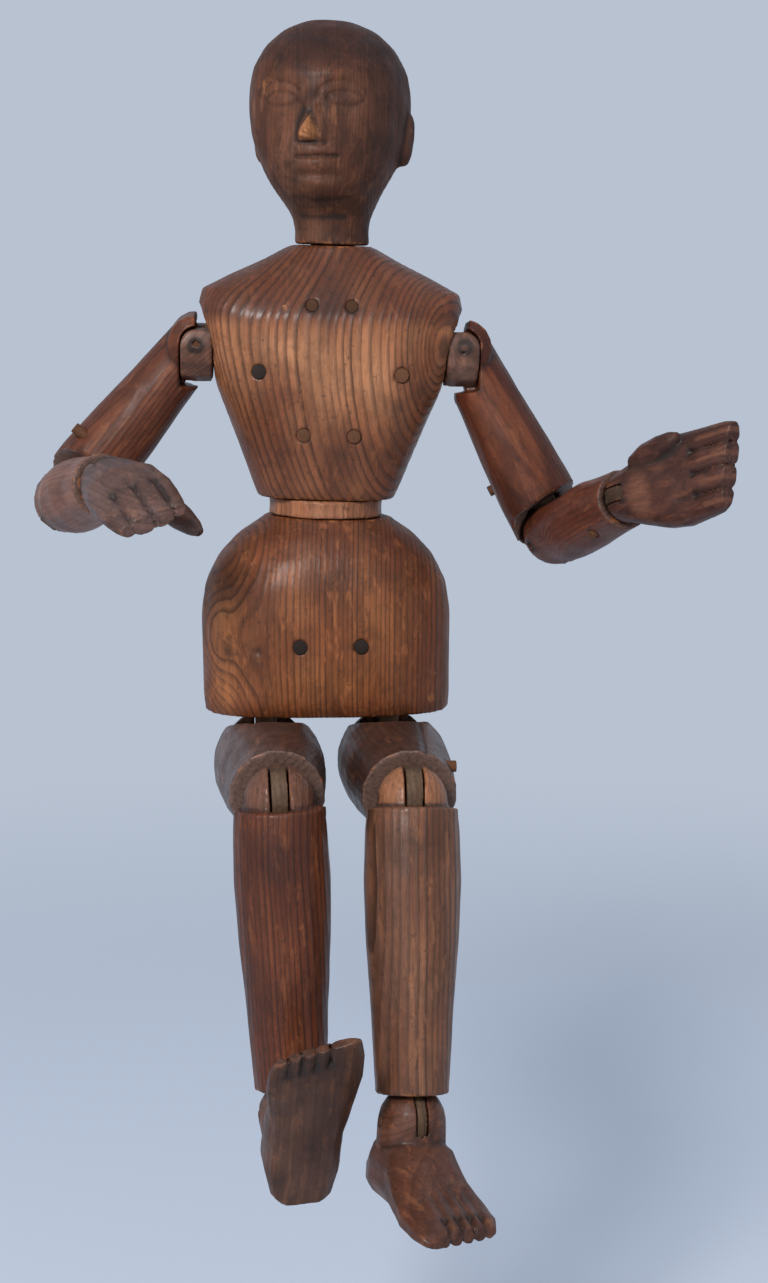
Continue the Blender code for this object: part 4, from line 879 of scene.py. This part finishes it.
class FIGURE_OT_head(bpy.types.Operator):
    """Carves the head, with its worn face"""

    bl_idname = "figure.head"
    bl_label = "Head"

    def execute(self, context):
        sizes = carving()
        neck = turned_axes("neck_turn", FACE_TURN)
        head = Carving(
            "head", sizes.fine_cell, 140, neck, wave=0.013, hold=RUB_ALL, settle=6, spare=HEAD_CRISP,
        )
        head.rings((0.30, 0.05), 0.0017, sway=0.3)
        head.relief(sizes.relief * 0.6)
        carve_face(head)
        height = head.points[:, 2]
        # Painted shade on the side of the head that turns away from the key lamp.
        head.shade += 0.70 * head.towards((0.9, -0.3, 0.2)) ** 2
        head.shade += 0.40 * slope(height, 0.068, 0.022)
        head.marks("shade")
        head.worn += 0.25 * np.exp(-(((height - 0.003) / 0.003) ** 2))
        head.done(
            HEAD_TONE, rings=0.25, stain=0.5, streaks=0.55, rough=0.60, coat=0.03, mottle=0.55,
            bare=NOSE_TONE,
        )
        return {"FINISHED"}


def arc(centre, half_wide, high, start=0.0, end=pi):
    """Points along an arched line on the front of the face, from one corner to the other."""
    turns = [start + (end - start) * i / 10 for i in range(11)]
    return [(centre[0] - half_wide * cos(t), -40, centre[1] + high * sin(t)) for t in turns]


def carve_face(head):
    """Cuts the eyes, brows, nose, mouth, chin and ears, then marks the chip on the nose, wear and dirt."""
    for x, z, fold, fold_end in ((-16.5, 63.2, -17.5, 2.6), (12.8, 64, 11.5, 2.7)):
        head.swell((x, -40, z + 1), (10, 20, 7), -1.3)
        head.swell((x, -40, z), (5.6, 20, 2.8), 1.1)
        head.groove(arc((x, z), 7.6, 3.7), 0.7, 0.65, grime=0.45)
        head.groove(arc((x, z), 7.4, -2.7), 0.6, 0.45, grime=0.30)
        brow = arc((fold, z - 0.5), 11.2, 8.8, 0.1, fold_end)
        head.groove(brow, 0.8, 0.55, grime=0.25)
        head.swell((fold, -40, z + 11.5), (11, 20, 2.4), 0.8)
    for side in (-1, 1):
        wing = [(side * wide - 1.8, -40, z) for wide, z in ((3.6, 60.5), (6.6, 49), (6.6, 45.5))]
        head.groove(wing, 1.1, 0.8, grime=0.45)
    nostrils = [(-7.6, -40, 45), (4, -40, 45)]
    head.groove(nostrils, 1, 0.8, grime=0.55)
    head.swell((1.2, -40, 41.2), (9, 20, 2.6), 1)
    mouth = [(-8, -40, 38.6), (1.2, -40, 39), (10.2, -40, 39.2)]
    head.groove(mouth, 0.9, 1.5, grime=0.85)
    head.swell((1.5, -40, 35.2), (7.5, 20, 2.8), 1.1)
    under_lip = [(-6.8, -40, 30.8), (9.5, -40, 30.8)]
    head.groove(under_lip, 2.2, 1.4, grime=0.15)
    head.swell((3.5, -38, 26.2), (6.8, 20, 3.6), 1.6)
    under_chin = [(-11, -30, 21.2), (0, -30, 19.6), (13, -30, 21.2)]
    head.groove(under_chin, 1.2, 0.8, grime=0.5)
    x, y, z = head.points.T
    chipped = (y < -0.0405) & (np.abs(x + 0.0018) < 0.48 * (0.0580 - z)) & (z > 0.0458) & (z < 0.058)
    head.bare += chipped
    head.points[chipped, 1] += 0.0004 * np.sin(1900 * z[chipped] + 800 * x[chipped])
    head.marks("worn", "grime")
    for side in (-1, 1):
        head.swell((side * 36, 3, 50), (20, 3.2, 6), -1.4, (side, 0, 0))


def carve_tongue(joint, side, play=0.0):
    """Carves the flat tongue of a swivel, pared by the play."""
    cell, share = TONGUES[joint]
    tongue = Carving(f"{joint}_swivel_{side}", cell, 4, bent_axes(joint, side), settle=2)
    tongue.push(np.full(len(tongue.points), -play))
    tongue.rings((0.03, 0.01), 0.0018)
    tongue.done(scaled(wood().tongue, share), RAW, **RAW_WOOD)


class FIGURE_OT_arms(bpy.types.Operator):
    """Carves the shoulder, elbow and wrist pieces and both arms"""

    bl_idname = "figure.arms"
    bl_label = "Arms"

    def execute(self, context):
        sizes = carving()
        for side in SIDES:
            shoulder = bent_axes("shoulder", side)
            stub = Carving(f"shoulder_swivel_{side}", sizes.limb_cell, 12, shoulder)
            stub.rings((0.03, 0.02), 0.0022)
            stub.done(STUB_TONE[side], rings=0.4, stain=0.5)
            arm = Carving(f"upper_arm_{side}", sizes.limb_cell, 45, shoulder, wave=0.010)
            arm.rings((0.020, 0.014), 0.0026)
            arm.relief(sizes.relief)
            arm.bare_end()
            if side == "L":
                off = np.hypot((arm.points[:, 1] + 0.001) / 0.0105, (arm.points[:, 2] - 0.046) / 0.036)
                arm.shade += 0.65 * slope(off, 0.88, 0.22) * (arm.normals[:, 0] < 0.3)
            rings = 0.6 if side == "R" else 0.35
            arm.done(ARM_TONE[side], rings=rings, stain=0.42, streaks=0.7, bare=RIM_TONE, coat=0.15)
            forearm = Carving(f"forearm_{side}", sizes.limb_cell, 40, bent_axes("elbow", side), wave=0.010)
            forearm.rings((0.012, 0.020), 0.0028, knots=[((16, 0, 10), (8, 30, 10), 3.0)])
            forearm.marks("worn", "shade")
            forearm.relief(sizes.relief)
            forearm.bare_end()
            forearm.done(FOREARM_TONE[side], rings=0.4, bare=DARK_RIM_TONE)
            for joint in ("elbow", "wrist"):
                carve_tongue(joint, side)
        return {"FINISHED"}


class FIGURE_OT_hands(bpy.types.Operator):
    """Carves the two hands"""

    bl_idname = "figure.hands"
    bl_label = "Hands"

    def execute(self, context):
        sizes = carving()
        for side in SIDES:
            place = bent_axes("wrist", side)
            hand = Carving(
                f"hand_{side}", sizes.fine_cell, 12, place, wave=0.008, knife=1.5, hold=FINE_HOLD, settle=2,
            )
            hand.rings((0.015, 0.030), 0.0026)
            split = FINGER_SPLIT[side]
            for number in (-1, 0, 1):
                x = number * FINGER_WIDTH
                for front in (-1, 1):
                    hand.groove([(x, 0, split), (x, 0, FINGER_END)], 1.5, 1.1, (0, front, 0), 0.7)
                    hand.groove([(x, 0, split - 9), (x, 0, split)], 1.4, 0.5, (0, front, 0), 0.3)
            if side == "L":
                ridge = np.clip(-np.cos(2 * pi * hand.points[:, 0] / (FINGER_WIDTH * MM)), 0, 1)
                hand.bare += 0.65 * ridge * slope(hand.points[:, 2], 0.042, 0.006)
            hand.marks("bare", "shade")
            hand.done(HAND_TONE[side], wear=0.3, rings=0.35, stain=0.5, mottle=0.5, bare=FINGER_TONE)
        return {"FINISHED"}


class FIGURE_OT_legs(bpy.types.Operator):
    """Carves the hip, knee and ankle pieces and both legs"""

    bl_idname = "figure.legs"
    bl_label = "Legs"

    def execute(self, context):
        sizes = carving()
        for side, sign in SIDES.items():
            thigh = Carving(f"thigh_{side}", sizes.limb_cell, 45, bent_axes("hip", side), wave=0.012)
            thigh.rings((0.040 * sign, 0.020), 0.0032, knots=[((-9, -22, 76), (10, 30, 20), 4.0)])
            thigh.relief(sizes.relief * 0.7)
            self.facet(thigh, side)
            # The knuckle at the top of the thigh: rubbed wood, made light enough that it is partly painted light
            # in the shade under the pelvis.
            thigh.spots(thigh.worn, [((0, -17, 6), (16, 8, 8), 1.2)])
            thigh.bare_end()
            thigh.done(THIGH_TONE[side], rings=0.45, stain=0.50, bare=RIM_TONE, coat=0.15)
            shin = Carving(f"shin_{side}", sizes.limb_cell, 45, bent_axes("knee", side), wave=0.012)
            pith, width, sway = SHIN_RINGS[side]
            shin.rings(pith, width, sway=sway)
            shin.marks("shade", "worn")
            shin.relief(sizes.relief)
            shin.bare = slope(shin.points[:, 2], 0.0024, -0.0012)
            shin.done(SHIN_TONE[side], rings=1.0, streaks=1.0, coat=0.22, bare=CHEEK_TONE[side])
            for joint in ("hip", "knee", "ankle"):
                carve_tongue(joint, side, sizes.tongue_play)
        return {"FINISHED"}

    def facet(self, thigh, side):
        """A long knife facet on top of the thigh. On one side of its border the right leg is browner with painted
        shade, the left leg greyer with a painted sheen.
        """
        x, y, z = thigh.points.T / MM
        across, along = zip(*FACET_EDGE[side])
        inside = slope(np.interp(z, along, across) - x, 0, 1.2) * (y < 0) * (z > 20)
        thigh.groove([(a, 0, b) for a, b in FACET_EDGE[side]], 1.2, 0.4, grime=0.25)
        # Painted shade on one side of the border on the right leg, a grey painted sheen on the left.
        if side == "R":
            thigh.shade += 0.55 * inside
        else:
            thigh.bare = np.maximum(thigh.bare, 0.5 * inside)


class FIGURE_OT_feet(bpy.types.Operator):
    """Carves the two feet"""

    bl_idname = "figure.feet"
    bl_label = "Feet"

    def execute(self, context):
        sizes = carving()
        for side, sign in SIDES.items():
            place = bent_axes("ankle", side) @ Matrix.Rotation(-pi / 2, 4, "X")
            foot = Carving(
                f"foot_{side}", sizes.fine_cell, 14, place, wave=0.009, knife=1.3, hold=FINE_HOLD, settle=2,
            )
            foot.rings((0.030, -0.060), 0.0024)
            for across, reach in TOE_GROOVES:
                x = -sign * across
                gap = [(x, 0, reach), (x, 0, TOE_END)]
                foot.groove(gap, 1.6, 1.2, (0, 1, 0), 0.7)
                foot.groove([(0.9 * x, 0, reach - 18), (x, 0, reach)], 1.5, 0.6, (0, 1, 0), 0.35)
                foot.groove(gap, 1.4, 0.9, (0, -1, 0), 0.7)
            sole = slope(-foot.normals[:, 1], 0.6, 0.3)
            foot.push(0.00006 * sole * np.sin(3600 * foot.points[:, 2] + 700 * foot.points[:, 0]))
            foot.grime += 0.30 * sole
            foot.done(FOOT_TONE[side], wear=0.3, rings=0.35, stain=0.6)
        return {"FINISHED"}


def dowel_look(name, tone, dirt):
    """End grain under a coat of grime."""
    look, net, shader = new_look(name)
    vector = net.node("TexCoord").outputs["Object"]
    patina = net.group("Old Patina", Vector=vector)
    grain = net.noise(vector, "Grain")
    colour = net.mix("MIX", net.ramp(grain, 0.35, 0.65, 0, 0.6), tone, scaled(tone, 0.4))
    net.fill(shader, (
        ("Base Color", net.mix("MIX", net.times(patina["Cloud"], dirt), colour, wood().grime)),
        ("Specular IOR Level", DOWEL_SPECULAR), ("Roughness", net.ramp(patina["Wax"], 0.3, 0.7, 0.60, 0.80)),
    ))
    net.bump(shader, grain, *DOWEL_BUMP)
    return look


class FIGURE_OT_dowels(bpy.types.Operator):
    """Turns every pin and keeper dowel, with rounded ends"""

    bl_idname = "figure.dowels"
    bl_label = "Dowels"

    def execute(self, context):
        dark = dowel_look("dark_dowel", wood().dowel, 0.6)
        brown = dowel_look("brown_dowel", scaled(TORSO_TONE, BROWN_DOWEL), 0.3)
        stained = dowel_look("stained_dowel", scaled(TORSO_TONE, STAINED_DOWEL), 0.4)
        for node in DOWELS:
            black = node.startswith("hip_keeper") or node == "shoulder_keeper_R"
            look = dark if black else stained if node.startswith("neck") else brown
            if node.startswith(FLUSH_DOWELS):
                self.turn(node, look, FLUSH_TRIM, FLUSH_SWELLING)
            else:
                self.turn(node, look, SHORT_TRIM, 0.0)
        return {"FINISHED"}

    def turn(self, node, look, trim, swelling):
        """Turns one dowel along its CAD node's axis, shorter by the trim and thicker by the swelling."""
        points = vectors(frame["nodes"][node].data.vertices, "co")
        centre = (points.min(0) + points.max(0)) / 2
        along = np.linalg.svd(points - points.mean(0), full_matrices=False)[2][0]
        axis = Vector(along)
        along = np.array(axis)
        reach = (points - centre) @ along
        centre = centre + along * (reach.max() + reach.min()) / 2
        flat = points - centre - np.outer((points - centre) @ along, along)
        radius = np.linalg.norm(flat, axis=1).max() + swelling
        shape = bmesh.new()
        bmesh.ops.create_cone(
            shape, cap_ends=True, segments=32, radius1=radius, radius2=radius,
            depth=reach.max() - reach.min() - trim,
            matrix=Matrix.Translation(Vector(centre)) @ axis.to_track_quat("Z", "Y").to_matrix().to_4x4(),
        )
        caps = [face for face in shape.faces if len(face.verts) > 4]
        rims = list({edge for face in caps for edge in face.edges})
        bmesh.ops.bevel(
            shape, geom=rims, offset=0.14 * radius, offset_type="OFFSET", segments=3, profile=0.5,
            affect="EDGES", material=-1,
        )
        mesh = new_mesh(node + "_turned", shape)
        mesh.shade_smooth()
        mesh.materials.append(look)
        settle_piece(new_object(node + "_turned", mesh), node)


class FIGURE_OT_stage(bpy.types.Operator):
    """Sets the floor, the lamps and the camera"""

    bl_idname = "figure.stage"
    bl_label = "Stage"

    def execute(self, context):
        scene = context.scene
        settings = scene.figure_stage
        floor = bmesh.new()
        bmesh.ops.create_circle(floor, cap_ends=True, segments=64, radius=FLOOR_RADIUS)
        bmesh.ops.translate(floor, verts=floor.verts, vec=(0, 0, CAD_BOX[0].z - settings.floor_drop))
        mesh = new_mesh("floor", floor)
        mesh.materials.append(self.paper(settings))
        obj = new_object("floor", mesh)
        world = bpy.data.worlds.new("studio")
        world.use_nodes = True
        back = world.node_tree.nodes["Background"]
        back.inputs["Color"].default_value = (*settings.sky_tone, 1)
        back.inputs["Strength"].default_value = 1.0
        scene.world = world
        scene.view_settings.view_transform = "Standard"
        yaw = Matrix.Rotation(-settings.yaw, 3, "Z")
        ahead = yaw @ Matrix.Rotation(-settings.pitch, 3, "X") @ Vector((0, 1, 0))
        target = yaw @ Vector((1, 0, 0)) * settings.aim_right + Vector((0, 0, settings.aim_up))
        lens = bpy.data.cameras.new("camera")
        lens.lens = settings.lens
        lens.sensor_width = FRAME_HEIGHT
        lens.clip_start = 0.01
        scene.camera = new_object("camera", lens)
        aim(scene.camera, target - ahead * settings.distance, ahead)
        self.lamp("key", settings.key_power, *KEY_LAMP)
        self.lamp("fill", settings.fill_power, *FILL_LAMP)
        return {"FINISHED"}

    def paper(self, settings):
        """Pale paper that fades into the background far from the figure."""
        look, net, shader = new_look("floor_paper")
        net.fill(shader, (
            ("Base Color", settings.floor_tone), ("Roughness", 0.9), ("Specular IOR Level", 0.1),
        ))
        glow = net.node("Emission", [("Color", settings.sky_tone)])
        away = net.node("VectorMath", [(0, net.node("TexCoord").outputs["Object"])], operation="LENGTH")
        blend = net.node("MixShader", (
            ("Fac", net.ramp(away.outputs["Value"], *FLOOR_FADE)),
            (1, shader.outputs["BSDF"]), (2, glow.outputs["Emission"]),
        ))
        net.links.new(blend.outputs["Shader"], net.nodes["Material Output"].inputs["Surface"])
        return look

    def lamp(self, name, power, place, size):
        """A round lamp that faces the figure."""
        light = bpy.data.lights.new(name, "AREA")
        light.energy = power
        light.shape = "DISK"
        light.size = size
        aim(new_object(name, light), place, LAMP_AIM - Vector(place))


STEPS = ("figure.trunk", "figure.head", "figure.arms", "figure.hands", "figure.legs", "figure.feet",
         "figure.dowels", "figure.stage")


class FIGURE_PT_panel(bpy.types.Panel):
    """Lists the steps and their settings"""

    bl_idname = "FIGURE_PT_panel"
    bl_label = "Lay Figure"
    bl_space_type = "VIEW_3D"
    bl_region_type = "UI"
    bl_category = "Lay Figure"

    def draw(self, context):
        scene = context.scene
        for settings in (scene.figure_wood, scene.figure_carving, scene.figure_stage):
            box = self.layout.box()
            for name in settings.__annotations__:
                box.prop(settings, name)
        for step in STEPS:
            self.layout.operator(step)


CLASSES = (
    WoodSettings, CarvingSettings, StageSettings, FIGURE_OT_trunk, FIGURE_OT_head, FIGURE_OT_arms,
    FIGURE_OT_hands, FIGURE_OT_legs, FIGURE_OT_feet, FIGURE_OT_dowels, FIGURE_OT_stage, FIGURE_PT_panel,
)


def register():
    for item in CLASSES:
        bpy.utils.register_class(item)
    bpy.types.Scene.figure_wood = bpy.props.PointerProperty(type=WoodSettings)
    bpy.types.Scene.figure_carving = bpy.props.PointerProperty(type=CarvingSettings)
    bpy.types.Scene.figure_stage = bpy.props.PointerProperty(type=StageSettings)


def unregister():
    del bpy.types.Scene.figure_stage
    del bpy.types.Scene.figure_carving
    del bpy.types.Scene.figure_wood
    for item in reversed(CLASSES):
        bpy.utils.unregister_class(item)


def main():
    register()
    for step in STEPS:
        area, name = step.split(".")
        getattr(getattr(bpy.ops, area), name)()


if __name__ == "__main__":
    main()
